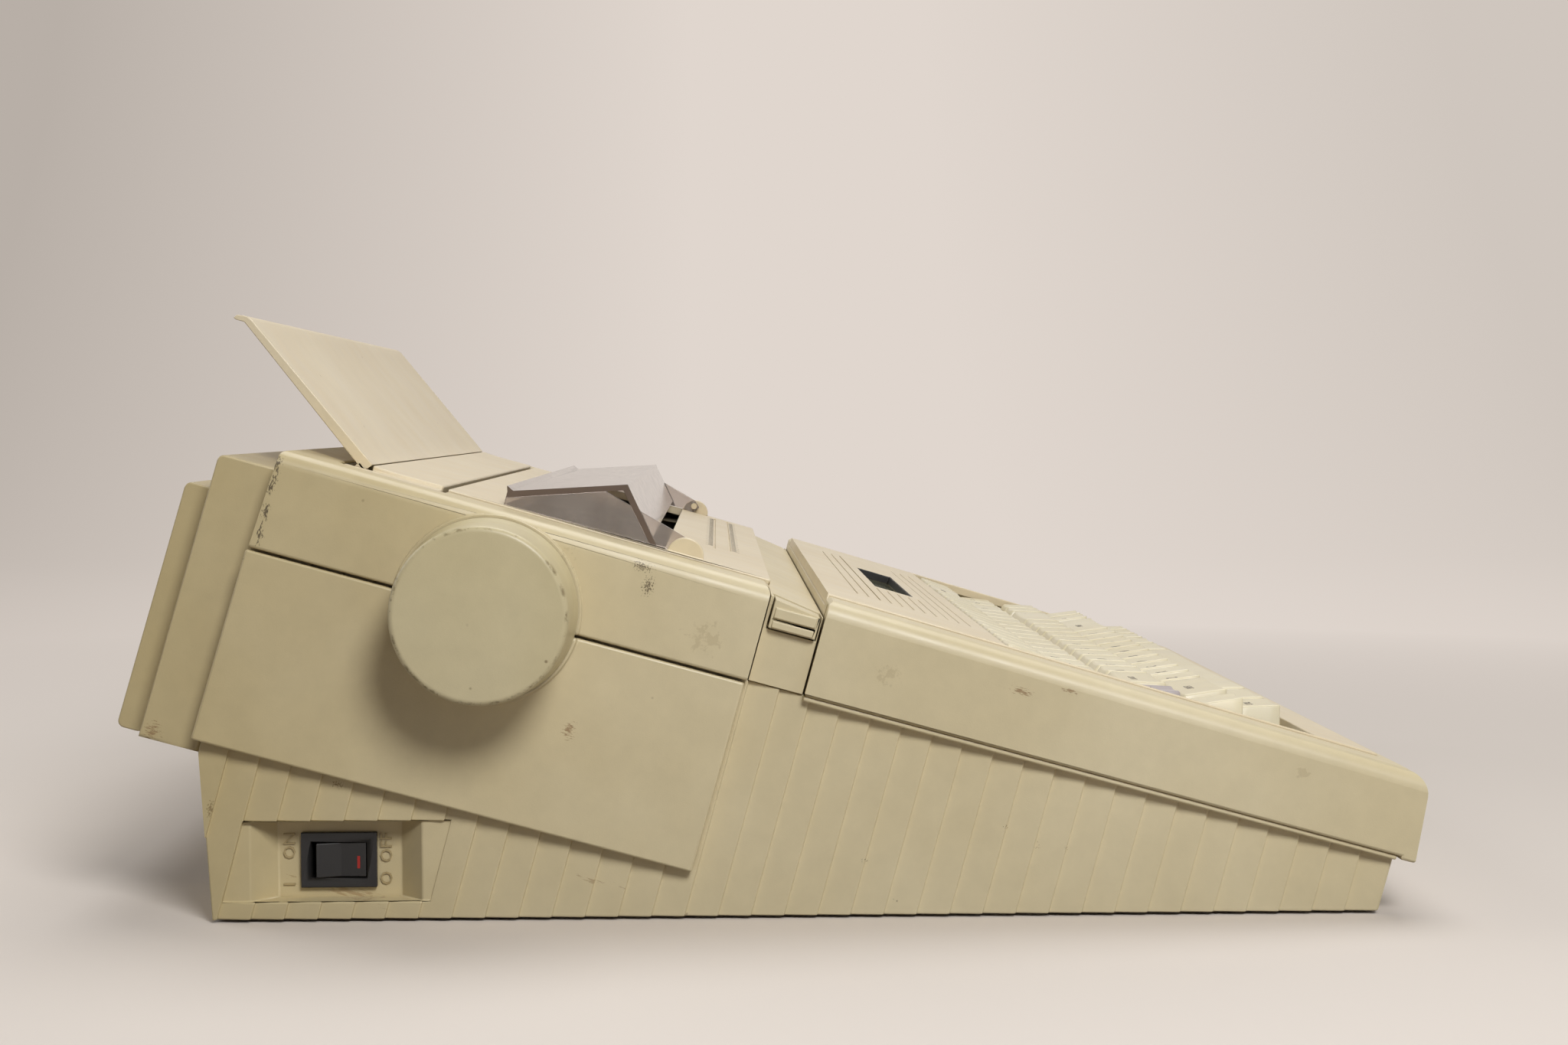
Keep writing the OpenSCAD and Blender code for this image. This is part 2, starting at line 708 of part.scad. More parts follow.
module rear_cover() {
    color(shell_c) slope() difference() {
        union() {
            difference() {
                prism_x(concat(
                    [[base_len + 0.1, -rear_drop], [rear_face(-rear_drop), -rear_drop]],
                    arc(rear_v1 - 2, rear_top - 2, 2, 0, 90, 4),
                    [[cover_v1 + 0.5, rear_top], [cover_v1 + cover_lean + 0.2, 0.2],
                        [base_len + 0.1, 0.2]]), -rear_half, rear_half);
                prism_x([
                    [base_len - 9, -rear_drop + wall], [rear_face(-rear_drop) - wall, -rear_drop + wall],
                    [rear_v1 - wall, rear_top - wall], [base_len - 9, rear_top - wall]
                ], -rear_half + wall, rear_half - wall);
            }
            for (x = lug_x, s = [-1, 1]) hull() {
                translate([x + s * (lug_w / 2 + 2.4) - 1.5, 0, 0]) rotate([0, 90, 0])
                    translate([-door_hinge[1], door_hinge[0], 0]) cylinder(r = 3, h = 3, $fn = 32);
                block(x + s * (lug_w / 2 + 2.4) - 1.5, x + s * (lug_w / 2 + 2.4) + 1.5,
                    door_hinge[0] - 5, door_hinge[0] + 2, -rear_drop, -rear_drop + 1);
            }
        }
        block(-well_half, well_half, rear_v1 - wall - 1, rear_v1 + rear_skew + 1, well_w[0], well_w[1] - 2);
        for (x = lug_x) rod_x(door_hinge[0], door_hinge[1], door_pin_r + slip,
            x - lug_w / 2 - 6, x + lug_w / 2 + 6);
    }
}
// Points that follow the housing's leaning rear face
function skewed(points) = [for (p = points) [p[0] + rear_face(p[1]) - rear_v1, p[1]]];
module rear_door() {
    lug_v = door_v0 + rear_skew;
    color(shell_c) slope() union() {
        difference() {
            prism_x(skewed(concat(
                [[door_v0, -door_low + 1], [door_v0 + 1, -door_low]],
                arc(door_v1 - 2, -door_low + 2, 2, -90, 0, 4),
                arc(door_v1 - 2, door_top - 2, 2, 0, 90, 4),
                [[door_v0, door_top]])), -door_half, door_half);
            prism_x(skewed([
                [door_v0 - 1, -door_low + 4.5], [door_v1 - wall, -door_low + 4.5],
                [door_v1 - wall, door_top - wall], [door_v0 - 1, door_top - wall]
            ]), -door_half + wall, door_half - wall);
        }
        for (x = lug_x) {
            prism_x([
                [door_hinge[0] - 1, door_hinge[1] - 2.6], [lug_v + 3, door_hinge[1] - 1.4],
                [lug_v + 3, -door_low + 1.5], [lug_v + 1, -door_low + 0.2],
                [door_hinge[0] + 1, -rear_drop - 0.8], [door_hinge[0] - 1, -rear_drop - 0.8]
            ], x - lug_w / 2, x + lug_w / 2);
            rod_x(door_hinge[0], door_hinge[1], door_pin_r, x - lug_w / 2 - 3.4, x + lug_w / 2 + 3.4);
        }
    }
}

// Access cover with the ears of the clear cover
clear_half = panel_half - panel_gap - ear_len - 0.7;
print_v0 = behind(32.6);
print_v1 = print_v0 + print_len;
ear_v = behind(26.6);
ear_r = 5.6;
ear_w = cover_top(ear_v) + panel_proud;
clear_pivot = [ear_v + 1.2, ear_w + 2.6];
clear_pin_r = 1.3;
ear_x = [clear_half + 0.5, clear_half + 0.5 + ear_len];
scale_lines = [[behind(12.1), -77, 168], [behind(17.6), -87, 166]];
module access_cover() {
    color(shell_c) slope() union() {
        difference() {
            union() {
                cover_slab(panel_half - panel_gap, cover_v0 + 0.2, access_v1, -panel_proud, wall);
                block(-panel_half + panel_gap, panel_half - panel_gap, cover_v0 + 0.2, cover_v0 + 2.4,
                    trim_top[1] + 0.3, cover_top(cover_v0) - 1);
            }
            block(-clear_half + 1, clear_half - 1, print_v0, print_v1, 0, 60);
            for (l = scale_lines) translate([0, cover_v0, cover_front_h]) rotate([cover_slope, 0, 0])
                block(l[1], l[2], l[0] - cover_v0 - 0.3, l[0] - cover_v0 + 0.3,
                    panel_proud - groove, panel_proud + 1);
        }
        both_sides() {
            intersection() {
                rod_x(ear_v, ear_w - 0.3, ear_r, ear_x[0], ear_x[1]);
                block(0, half_w, ear_v - 10, ear_v + 10, ear_w - 0.6, 60);
            }
            rod_x(clear_pivot[0], clear_pivot[1], clear_pin_r, clear_half - clear_wall, ear_x[0] + 1);
            rod_x(access_hinge[0], access_hinge[1], 1.8, panel_half - 8, panel_half - panel_gap);
            rod_x(access_hinge[0], access_hinge[1], access_pin_r, panel_half - 2, panel_half + 3.4);
            block(panel_half - 12, panel_half - 4, cover_v0 + 3.6, cover_v0 + 5.4,
                latch_w + 1, cover_top(cover_v0) - 1);
        }
    }
}

// Clear cover
clear_low = 1.2;
clear_rear = [behind(82.5), 33.4];
clear_fold = [behind(48.6), 44.8];
clear_foot = [behind(37.2), 31.4];
module clear_cover() {
    low = ear_w + clear_low;
    color("#8a8580", 0.45) slope() difference() {
        union() {
            prism_x([
                clear_rear, [clear_rear[0] + 0.6, clear_rear[1] + 1.8], [clear_rear[0] - 1.6, clear_rear[1] + 0.7],
                clear_fold, [clear_foot[0], clear_foot[1]], [clear_foot[0] + 2.2, clear_foot[1]],
                [clear_fold[0] + 0.8, clear_fold[1] - clear_wall], [clear_rear[0], clear_rear[1] - clear_wall + 0.2]
            ], -clear_half, clear_half);
            both_sides() prism_x([
                [clear_rear[0], low], clear_rear, [clear_fold[0] + 8.4, clear_fold[1] - 2.9],
                [clear_pivot[0] + 3.4, clear_pivot[1] + 3.4], [clear_pivot[0], clear_pivot[1] + 2.4],
                [clear_pivot[0] - 2.4, clear_pivot[1]], [clear_pivot[0], clear_pivot[1] - 2.2],
                [clear_pivot[0] + 4, low]
            ], clear_half - clear_wall, clear_half);
        }
        both_sides() rod_x(clear_pivot[0], clear_pivot[1], clear_pin_r + slip,
            clear_half - clear_wall - 1, clear_half + 1);
    }
}

// Paper support
support_back = 3;
lip_out = 2.5;
lip_fall = 1.9;
module paper_support() {
    tip = support_len;
    front = support_back + support_t;
    color(shell_c) slope() translate([0, support_v, support_w]) rotate([support_rise, 0, 0]) union() {
        prism_x([
            [-1.5, support_back], [tip, support_back],
            [tip + lip_out, support_back - lip_fall], [tip + lip_out, support_back + 0.5],
            [tip + 1, front - 0.2], [tip, front], [-1.5, front]
        ], -support_half, support_half);
        rod_x(0, 0, 1.9, -support_half, support_half);
        block(-support_half, support_half, -1.5, 1.5, 0, support_back + 1);
        both_sides() rod_x(0, 0, support_pin_r, support_half - 1, boss_x[1] - 0.4);
    }
}

// Platen group
platen_v = behind(platen_back);
platen_half = frame_in - 10;
module platen_roller() {
    color("#26262a") slope() difference() {
        rod_x(platen_v, platen_w, platen_r, -platen_half, platen_half);
        rod_x(platen_v, platen_w, shaft_r + press, -platen_half - 1, platen_half + 1);
    }
}
shaft_x = [-half_w - knob_out + 3, frame_in + frame_t + 10];
module platen_shaft() {
    color(steel_c) slope() rod_x(platen_v, platen_w, shaft_r, shaft_x[0], shaft_x[1]);
}
knob_x0 = -half_w - collar_out - 0.6;
knob_x1 = -half_w - knob_out;
module platen_knob() {
    bevel = 1;
    deep = knob_x0 - knob_x1;
    color(shell_c) slope() translate([knob_x0, platen_v, platen_w]) rotate([0, -90, 0]) difference() {
        union() {
            rotate_extrude() polygon([
                [knob_base_r - 2.5, 0], [knob_base_r, 0], [knob_r, deep - bevel],
                [knob_r - 0.3, deep - 0.3], [knob_r - bevel, deep], [0, deep], [0, deep - 2.5],
                [knob_r - 3, deep - 2.5]
            ]);
            translate([0, 0, -15]) cylinder(r = hub_r, h = 14 + deep);
        }
        translate([0, 0, -20]) cylinder(r = shaft_r + press, h = 20 + knob_out - 5 + 0.1);
    }
}

// Gears: trapezoid teeth with backlash
function gear_points(n, m, turn) = [for (i = [0 : n - 1]) for (k = [0 : 3]) let (
        pr = n * m / 2,
        r = k == 0 || k == 3 ? pr - 1.2 * m : pr + 0.85 * m,
        share = k == 0 || k == 3 ? 0.33 : 0.15,
        a = turn + (i + (k < 2 ? -share : share)) * 360 / n)
    [r * cos(a), r * sin(a)]];
function mesh_turn(n_a, turn_a, dir, n_b) = let (
        gap = (dir - turn_a) * n_a / 360,
        part = gap - floor(gap))
    dir + 180 + (part - 0.5) * 360 / n_b;
module gear(n, turn, bore, thick) {
    rotate([90, 0, 90]) linear_extrude(thick) difference() {
        polygon(gear_points(n, gear_m, turn));
        circle(r = bore);
    }
}
gear_x = frame_in + frame_t + 1.5;
gear_t = 6;
idler_dir = -110;
pinion_dir = -150;
idler_gap = (platen_teeth + idler_teeth) * gear_m / 2;
idler_v = platen_v + idler_gap * cos(idler_dir);
idler_w = platen_w + idler_gap * sin(idler_dir);
pinion_gap = (idler_teeth + pinion_teeth) * gear_m / 2;
pinion_v = idler_v + pinion_gap * cos(pinion_dir);
pinion_w = idler_w + pinion_gap * sin(pinion_dir);
idler_turn = mesh_turn(platen_teeth, 0, idler_dir, idler_teeth);
pinion_turn = mesh_turn(idler_teeth, idler_turn, pinion_dir, pinion_teeth);
idler_axle_r = 2;
motor_shaft_r = 1.5;

module platen_gear() {
    color(white_c) slope() translate([gear_x, platen_v, platen_w])
        gear(platen_teeth, 0, shaft_r + press, gear_t);
}
module idler_gear() {
    color(white_c) slope() translate([gear_x, idler_v, idler_w])
        gear(idler_teeth, idler_turn, idler_axle_r + slip / 2, gear_t);
}
module motor_pinion() {
    color(brass_c) slope() {
        translate([gear_x, pinion_v, pinion_w]) gear(pinion_teeth, pinion_turn, 0.01, gear_t);
        rod_x(pinion_v, pinion_w, motor_shaft_r, frame_in - 4, gear_x + 1);
    }
}
feed_motor_r = 14;
module feed_motor() {
    color(steel_c) slope() difference() {
        union() {
            rod_x(pinion_v, pinion_w, feed_motor_r, frame_in - 20, frame_in);
            rod_x(pinion_v, pinion_w, 4.5, frame_in - 1, frame_in + frame_t);
        }
        rod_x(pinion_v, pinion_w, motor_shaft_r + slip, frame_in - 4.5, frame_in + 4);
    }
}

// Frames and fixed rails
feed_gap = platen_r + feed_r + run;
feed_shaft_r = 2.5;
feed_place = [for (a = [-60, -120]) [platen_v + feed_gap * cos(a), platen_w + feed_gap * sin(a)]];
rod_v0 = behind(46.6);
rod_w0 = -12;
bail_pivot = [behind(57.6), -14];
bush_r = 6;
bail_pin_r = 1.6;
frame_v = [behind(21.5), behind(124.6)];
flange_w = 12;

module side_frame() {
    difference() {
        union() {
            prism_x([
                [frame_v[0], plate_w], [frame_v[1], plate_w], [frame_v[1], -30], [frame_v[1] - 24, 12],
                [frame_v[0] + 39, 14], [frame_v[0] + 21, 4], [frame_v[0], 4]
            ], frame_in, frame_in + frame_t);
            block(frame_in - flange_w, frame_in + frame_t, frame_v[0] + 8, frame_v[1],
                plate_w, plate_w + frame_t);
        }
        rod_x(platen_v, platen_w, bush_r + press, 0, half_w);
        rod_x(rod_v0, rod_w0, rod_r + press, 0, half_w);
        for (p = feed_place) rod_x(p[0], p[1], feed_shaft_r + slip, 0, half_w);
        rod_x(bail_pivot[0], bail_pivot[1], bail_pin_r + slip, 0, half_w);
    }
}
module left_frame() {
    color(steel_c) slope() mirror([1, 0, 0]) side_frame();
}
module right_frame() {
    color(steel_c) slope() union() {
        difference() {
            side_frame();
            rod_x(pinion_v, pinion_w, 4.5 + press, 0, half_w);
        }
        rod_x(idler_v, idler_w, idler_axle_r, frame_in + frame_t - 0.5, gear_x + gear_t + 1.5);
    }
}
module mechanism_plate() {
    color(steel_c) slope() difference() {
        block(-frame_in - frame_t, frame_in + frame_t, frame_v[0] + 6, frame_v[1] + 3,
            plate_w - plate_t, plate_w);
        for (x = [-post_x, post_x], v = post_v) rod_w(x, v, 1.6, plate_w - 5, plate_w + 1);
    }
}
module platen_bushes() {
    color(brass_c) slope() both_sides() difference() {
        rod_x(platen_v, platen_w, bush_r, frame_in - 1, frame_in + frame_t + 1);
        rod_x(platen_v, platen_w, shaft_r + 0.05, frame_in - 2, frame_in + frame_t + 2);
    }
}
pan_r = platen_r + 1.5;
roller_x = [for (s = [-3 : 2 : 3]) s * platen_half * 7 / 33];
roller_len = 30;
module paper_pan() {
    color(steel_c) slope() difference() {
        translate([-frame_in, platen_v, platen_w]) rotate([0, 90, 0]) rotate([0, 0, -75])
            rotate_extrude(angle = 150) translate([pan_r, 0]) square([0.8, 2 * frame_in]);
        for (x = roller_x, p = feed_place) rod_x(p[0], p[1], feed_r + 1, x - roller_len / 2 - 2,
            x + roller_len / 2 + 2);
        for (p = feed_place) rod_x(p[0], p[1], feed_shaft_r + 1, -half_w, half_w);
        both_sides() block(bail_x[0] - 1, bail_x[1] + 1, bail_pivot[0] - 20, platen_v,
            bail_pivot[1], 40);
    }
}
module carriage_rod() {
    color(steel_c) slope() rod_x(rod_v0, rod_w0, rod_r, -frame_in - frame_t, frame_in + frame_t);
}
rail_v = [behind(27.6), behind(33.6)];
rail_w = [-4, 2];
belt_v = [behind(14.6), behind(19.6)];
belt_w = -20;
belt_t = 1.2;
pulley_x = frame_in - 17;
rail_wall = [behind(21.6), behind(23.6)];
module carriage_rail() {
    color(steel_c) slope() difference() {
        union() {
            block(-frame_in, frame_in, rail_v[0], rail_v[1], rail_w[0], rail_w[1]);
            block(-frame_in, frame_in, rail_wall[0], rail_wall[1], -50, rail_w[1]);
            for (s = [-1, 1]) block(s * (frame_in - 1.5) - 1.5, s * (frame_in - 1.5) + 1.5,
                rail_wall[0], rail_v[1], rail_w[0], rail_w[1]);
            rod_v(pulley_x, belt_w, 2, belt_v[0] - 1, rail_wall[1] - 0.5);
        }
        rod_v(-pulley_x, belt_w, 4, rail_wall[0] - 1, rail_wall[1] + 1);
    }
}
module carriage_motor() {
    color(steel_c) slope() difference() {
        union() {
            rod_v(-pulley_x, belt_w, 13, rail_wall[1], rail_wall[1] + 16.5);
            rod_v(-pulley_x, belt_w, 4 - press, rail_wall[0], rail_wall[1] + 1);
        }
        rod_v(-pulley_x, belt_w, motor_shaft_r + slip, rail_wall[0] - 1, rail_wall[1] + 5);
    }
}
module pulley(x) {
    rod_v(x, belt_w, pulley_r, belt_v[0] - 0.6, belt_v[1] + 0.6);
}
module motor_pulley() {
    color(white_c) slope() union() {
        pulley(-pulley_x);
        rod_v(-pulley_x, belt_w, motor_shaft_r, belt_v[0] - 1, rail_wall[1] + 4);
    }
}
module idler_pulley() {
    color(white_c) slope() difference() {
        pulley(pulley_x);
        rod_v(pulley_x, belt_w, 2 + slip / 2, belt_v[0] - 5, rail_wall[0]);
    }
}
module belt_loop(r, past) {
    block(-pulley_x, pulley_x, belt_v[0] - past, belt_v[1] + past, belt_w - r, belt_w + r);
    for (s = [-1, 1]) rod_v(s * pulley_x, belt_w, r, belt_v[0] - past, belt_v[1] + past);
}
module drive_belt() {
    color(dark_c) slope() difference() {
        belt_loop(pulley_r + slip + belt_t, 0);
        belt_loop(pulley_r + slip, 1);
    }
}

// Pressure rollers
module feed_roller(p) {
    rod_x(p[0], p[1], feed_shaft_r, -frame_in - frame_t - 0.7, frame_in + frame_t + 0.7);
    for (x = roller_x) rod_x(p[0], p[1], feed_r, x - roller_len / 2, x + roller_len / 2);
}
module feed_roller_rear() {
    color(dark_c) slope() feed_roller(feed_place[0]);
}
module feed_roller_front() {
    color(dark_c) slope() feed_roller(feed_place[1]);
}

// Paper bail
bail_roller_r = 5;
bail_gap = platen_r + bail_roller_r + run;
bail_dir = 120;
bail_bar = [platen_v + bail_gap * cos(bail_dir), platen_w + bail_gap * sin(bail_dir)];
bail_bar_r = 1.6;
bail_x = [frame_in - 6.5, frame_in - 4.5];
module paper_bail() {
    color(steel_c) slope() union() {
        rod_x(bail_bar[0], bail_bar[1], bail_bar_r, -bail_x[1], bail_x[1]);
        both_sides() {
            hull() {
                rod_x(bail_bar[0], bail_bar[1], 3, bail_x[0], bail_x[1], $fn = 32);
                rod_x(bail_pivot[0], bail_pivot[1], 4, bail_x[0], bail_x[1], $fn = 32);
            }
            rod_x(bail_pivot[0], bail_pivot[1], bail_pin_r, bail_x[0], frame_in + frame_t + 0.5);
        }
    }
}
module bail_rollers() {
    color(dark_c) slope() for (x = [-70, 0, 70]) difference() {
        rod_x(bail_bar[0], bail_bar[1], bail_roller_r, x - 9, x + 9);
        rod_x(bail_bar[0], bail_bar[1], bail_bar_r + slip / 2, x - 10, x + 10);
    }
}

// Carriage
car_half = 30;
car_w = [-19, 6];
hammer_r = 3;
strand_w = belt_w + pulley_r + slip;
wheel_w = platen_w - wheel_r + 1;
wheel_v = [behind(56.2), behind(57.4)];
bracket_v = [behind(52.8), behind(54.8)];
car_v0 = rail_v[1] + 3;
car_skirt = rail_v[0] - 2;
module carriage_frame() {
    color(dark_c) slope() translate([carriage_home, 0, 0]) difference() {
        union() {
            block(-car_half, car_half, car_v0, bracket_v[0], car_w[0], car_w[1]);
            block(-car_half, car_half, car_skirt, car_v0 + 1, rail_w[1] + run, rail_w[1] + run + 2);
            block(-car_half, car_half, rail_v[1] + run, car_v0 + 1, rail_w[0] - run - 2,
                rail_w[1] + run + 1);
            block(-car_half, car_half, car_skirt, car_v0 + 1, rail_w[0] - run - 2, rail_w[0] - run);
            block(-14, 14, bracket_v[0] - 1, bracket_v[1], wheel_w - 11, car_w[1]);
            block(-6, 6, belt_v[0] - 2.5, car_skirt + 1, rail_w[1] + run, rail_w[1] + run + 2);
            block(-6, 6, belt_v[0] - 2.5, belt_v[1] + 1, strand_w + belt_t + run, rail_w[1] + run + 2);
            block(-6, 6, belt_v[0] - 2.5, belt_v[0] - 0.5, strand_w - run - 2, rail_w[1] + run + 2);
            block(-6, 6, belt_v[0] - 2.5, belt_v[1] + 1, strand_w - run - 2, strand_w - run);
        }
        rod_x(rod_v0, rod_w0, rod_r + slip, -car_half - 1, car_half + 1);
        rod_v(0, platen_w, hammer_r + slip, car_skirt, wheel_v[1]);
        rod_v(0, wheel_w, 3, bracket_v[0] - 2, bracket_v[1] + 1);
    }
}
module print_hammer() {
    color(steel_c) slope() translate([carriage_home, 0, 0]) rod_v(0, platen_w, hammer_r,
        car_v0 + 2, bracket_v[1]);
}
module wheel_motor() {
    color(steel_c) slope() translate([carriage_home, 0, 0]) difference() {
        rod_v(0, wheel_w, 9, car_v0 - 2, bracket_v[0] - 1);
        rod_v(0, wheel_w, 2 + slip, spindle_v - 1, bracket_v[0]);
    }
}
spindle_v = bracket_v[0] - 7.2;
module print_wheel() {
    hub = 11;
    color(dark_c) slope() translate([carriage_home, wheel_v[1], wheel_w]) rotate([90, 0, 0]) union() {
        linear_extrude(wheel_v[1] - wheel_v[0]) union() {
            circle(r = hub);
            for (i = [0 : petals - 1]) rotate(i * 360 / petals) translate([hub - 1, -0.5])
                square([wheel_r - hub, 1]);
            for (i = [0 : petals - 1]) rotate(i * 360 / petals) translate([wheel_r - 3.2, -1.3])
                square([3.2, 2.6]);
        }
        cylinder(r = 2, h = wheel_v[1] - spindle_v);
        translate([0, 0, wheel_v[1] - wheel_v[0]]) cylinder(r = 2.6, h = 1);
    }
}
module ribbon_cassette() {
    color(dark_c) slope() translate([carriage_home, 0, 0]) difference() {
        block(-45, 45, rail_wall[0], bracket_v[0] + 0.8, car_w[1] + 0.05, car_w[1] + 9);
        block(-12, 12, bracket_v[0] - 8, wheel_v[0], car_w[1] - 1, car_w[1] + 10);
        for (x = [-27, 27]) rod_w(x, car_v0, 4, car_w[1] + 6, car_w[1] + 10);
    }
}

// Electronics
module main_board() {
    color(board_c) slope() difference() {
        union() {
            block(-board_x - 8, board_x + 8, board_v[0] - 7, board_v[1] + 7, board_w, board_w + board_t);
            for (x = [-100 : 40 : 100]) block(x, x + 18, 60, 96, board_w + board_t, board_w + board_t + 4);
            for (x = [-125, 125]) rod_w(x, 78, 6, board_w + board_t, board_w + board_t + 9);
        }
        for (x = [-board_x, board_x], v = board_v) rod_w(x, v, 1.3, board_w - 1, board_w + 3);
    }
}
transformer_y = ground_y(158, -40);
module transformer() {
    color("#7d7468") ground() translate([-post_x, transformer_y, foot_h + wall]) union() {
        translate([-27, -18, 0]) cube([54, 36, 42]);
        translate([-19, -25, 8]) cube([38, 50, 26]);
        translate([-36, -8, 0]) cube([72, 16, 2]);
    }
}
module mains_inlet() {
    color(dark_c) slope() inlet_frame() difference() {
        union() {
            translate([-12, -20, -8]) cube([24, 21, 16]);
            translate([-14.5, 0.05, -10.5]) cube([29, 1.6, 21]);
        }
        translate([-9, -12, -4]) cube([18, 30, 8]);
        for (x = [-5, 5]) translate([x, 10, 0]) rotate([90, 0, 0]) cylinder(r = 1, h = 30);
    }
}
rocker_half = 7.2;
rocker_z = 10;
module switch_bezel() {
    open_y = 2 * rocker_half + 2;
    color(dark_c) ground() translate([floor_x, switch_y, switch_z]) difference() {
        union() {
            translate([-1.7, -switch_len / 2, -switch_h / 2]) cube([1.7, switch_len, switch_h]);
            translate([-1, -switch_open_y / 2 + 0.2, -switch_open_z / 2 + 0.2])
                cube([21, switch_open_y - 0.4, switch_open_z - 0.4]);
        }
        translate([-5, -open_y / 2, -rocker_z / 2 - 0.3]) cube([16, open_y, rocker_z + 0.6]);
        translate([4, 0, -rocker_z / 2 - 1.1]) cylinder(r = 1 + slip, h = rocker_z + 2.2);
    }
}
rocker_tilt = 7;
module rocker() {
    color("#1c1c1e") ground() translate([floor_x + 4, switch_y, switch_z]) rotate([0, 0, rocker_tilt])
        union() {
            translate([0, 0, -rocker_z / 2]) linear_extrude(rocker_z) polygon([
                [-6.4, -rocker_half], [-5, 0], [-6.4, rocker_half], [0.5, rocker_half - 0.6],
                [3.4, 2.5], [3.4, -2.5], [0.5, -rocker_half + 0.6]
            ]);
            translate([0, 0, -rocker_z / 2 - 0.9]) cylinder(r = 1, h = rocker_z + 1.8);
        }
}

// Keyboard inner parts
kb_board_w = 4;
kb_plate_half = half_w - 8;
unit_rows = [
    [1, -0.25, 1, 1, 1, 1, 1, 1, 1, 1, 1, 1, 1, 1, 1, 2, -0.25, 1, 1],
    [1, -0.25, 1.5, 1, 1, 1, 1, 1, 1, 1, 1, 1, 1, 1, 1, 1.5, -0.25, 1, 1],
    [1, -0.25, 1.75, 1, 1, 1, 1, 1, 1, 1, 1, 1, 1, 1, 2.25, -0.25, 1, 1],
    [1, -0.25, 2.25, 1, 1, 1, 1, 1, 1, 1, 1, 1, 1, 2.75, -0.25, 1, 1],
    [-1.6, 1.25, 1.5, space_units, 1.5, 1.25, -0.15, 1, 1, 1]
];
// Height of the front and rear edge of each row's keycaps
row_front = [26.7, 25.7, 28.5, 31.6, 30.7];
row_rear = [27.6, 23.9, 25.7, 26.3, 27.0];
key_top_half = key_pitch / 2 - key_inset - 0.5;
stem = 5.6;
stem_low = 10;

function reach(row, i) = i == 0 ? 0 : reach(row, i - 1) + abs(unit_rows[row][i - 1]);
function row_v(row) = key_row_v - row * key_pitch;
function key_x0(row, i) = -key_field_left + reach(row, i) * key_pitch;
function is_return(row, i) = row == 2 && unit_rows[row][i] == 2.25;
function is_space(row, i) = row == 4 && unit_rows[row][i] == space_units;

module keycap(row, i) {
    x0 = key_x0(row, i) + key_gap / 2;
    x1 = key_x0(row, i) + unit_rows[row][i] * key_pitch - key_gap / 2;
    skirt = key_pitch / 2 - key_gap / 2;
    v = row_v(row);
    mid = (x0 + x1) / 2;
    union() {
        intersection() {
            prism_x([
                [v - skirt, skirt_w], [v + skirt, skirt_w],
                [v + key_top_half, row_rear[row]], [v - key_top_half, row_front[row]]
            ], x0, x1);
            prism_v([
                [x0, skirt_w], [x1, skirt_w], [x1 - key_inset, 32], [x0 + key_inset, 32]
            ], v - key_pitch, v + key_pitch);
        }
        block(mid - stem / 2, mid + stem / 2, v - stem / 2, v + stem / 2, stem_low, skirt_w + 1);
    }
}
module key_row(row) {
    color(key_c) slope() for (i = [0 : len(unit_rows[row]) - 1])
        if (unit_rows[row][i] > 0 && !is_return(row, i) && !is_space(row, i)) keycap(row, i);
}
module number_row_keys() {
    key_row(0);
}
module upper_row_keys() {
    key_row(1);
}
module home_row_keys() {
    key_row(2);
}
module lower_row_keys() {
    key_row(3);
}
module control_row_keys() {
    key_row(4);
}
module return_key() {
    color(key_c) slope() for (i = [0 : len(unit_rows[2]) - 1]) if (is_return(2, i)) keycap(2, i);
}
module space_bar() {
    color(key_c) slope() for (i = [0 : len(unit_rows[4]) - 1]) if (is_space(4, i)) keycap(4, i);
}
module keyboard_plate() {
    hole = stem + 1.4;
    color(steel_c) slope() translate([0, 0, kb_plate_w - kb_plate_t]) linear_extrude(kb_plate_t)
        difference() {
            translate([-kb_plate_half, key_row_v - 96.3]) square([2 * kb_plate_half, 114]);
            for (row = [0 : 4], i = [0 : len(unit_rows[row]) - 1]) if (unit_rows[row][i] > 0)
                translate([key_x0(row, i) + unit_rows[row][i] * key_pitch / 2 - hole / 2,
                    row_v(row) - hole / 2]) square(hole);
            for (s = [-1, 1], v = kb_post_v) translate([s * kb_board_post_x, v]) circle(r = 1.4);
        }
}
module keyboard_board() {
    color(board_c) slope() union() {
        block(-well_half_x - 9, well_half_x + 9, key_row_v - 91.3, key_row_v + 13.7,
            kb_board_w, kb_board_w + 1.6);
        both_sides() for (v = [key_row_v - 81.3, key_row_v + 4.7])
            rod_w(well_half_x + 6, v, 2.5, kb_board_w + 1, kb_plate_w - kb_plate_t);
    }
}

// Screws
module screw(x, v, w, r, length) {
    rod_w(x, v, r, w - length, w + 1);
    rod_w(x, v, 2.4 * r, w, w + 1.8);
}
module screws() {
    color(steel_c) slope() {
        for (x = [-post_x, post_x], v = post_v) screw(x, v, plate_w, 1.45, 11);
        for (x = [-board_x, board_x], v = board_v) screw(x, v, board_w + board_t, 1.15, 7);
        both_sides() for (v = kb_post_v) mirror([0, 0, 1])
            screw(kb_board_post_x, v, -kb_plate_w + kb_plate_t, 1.15, 6);
    }
}

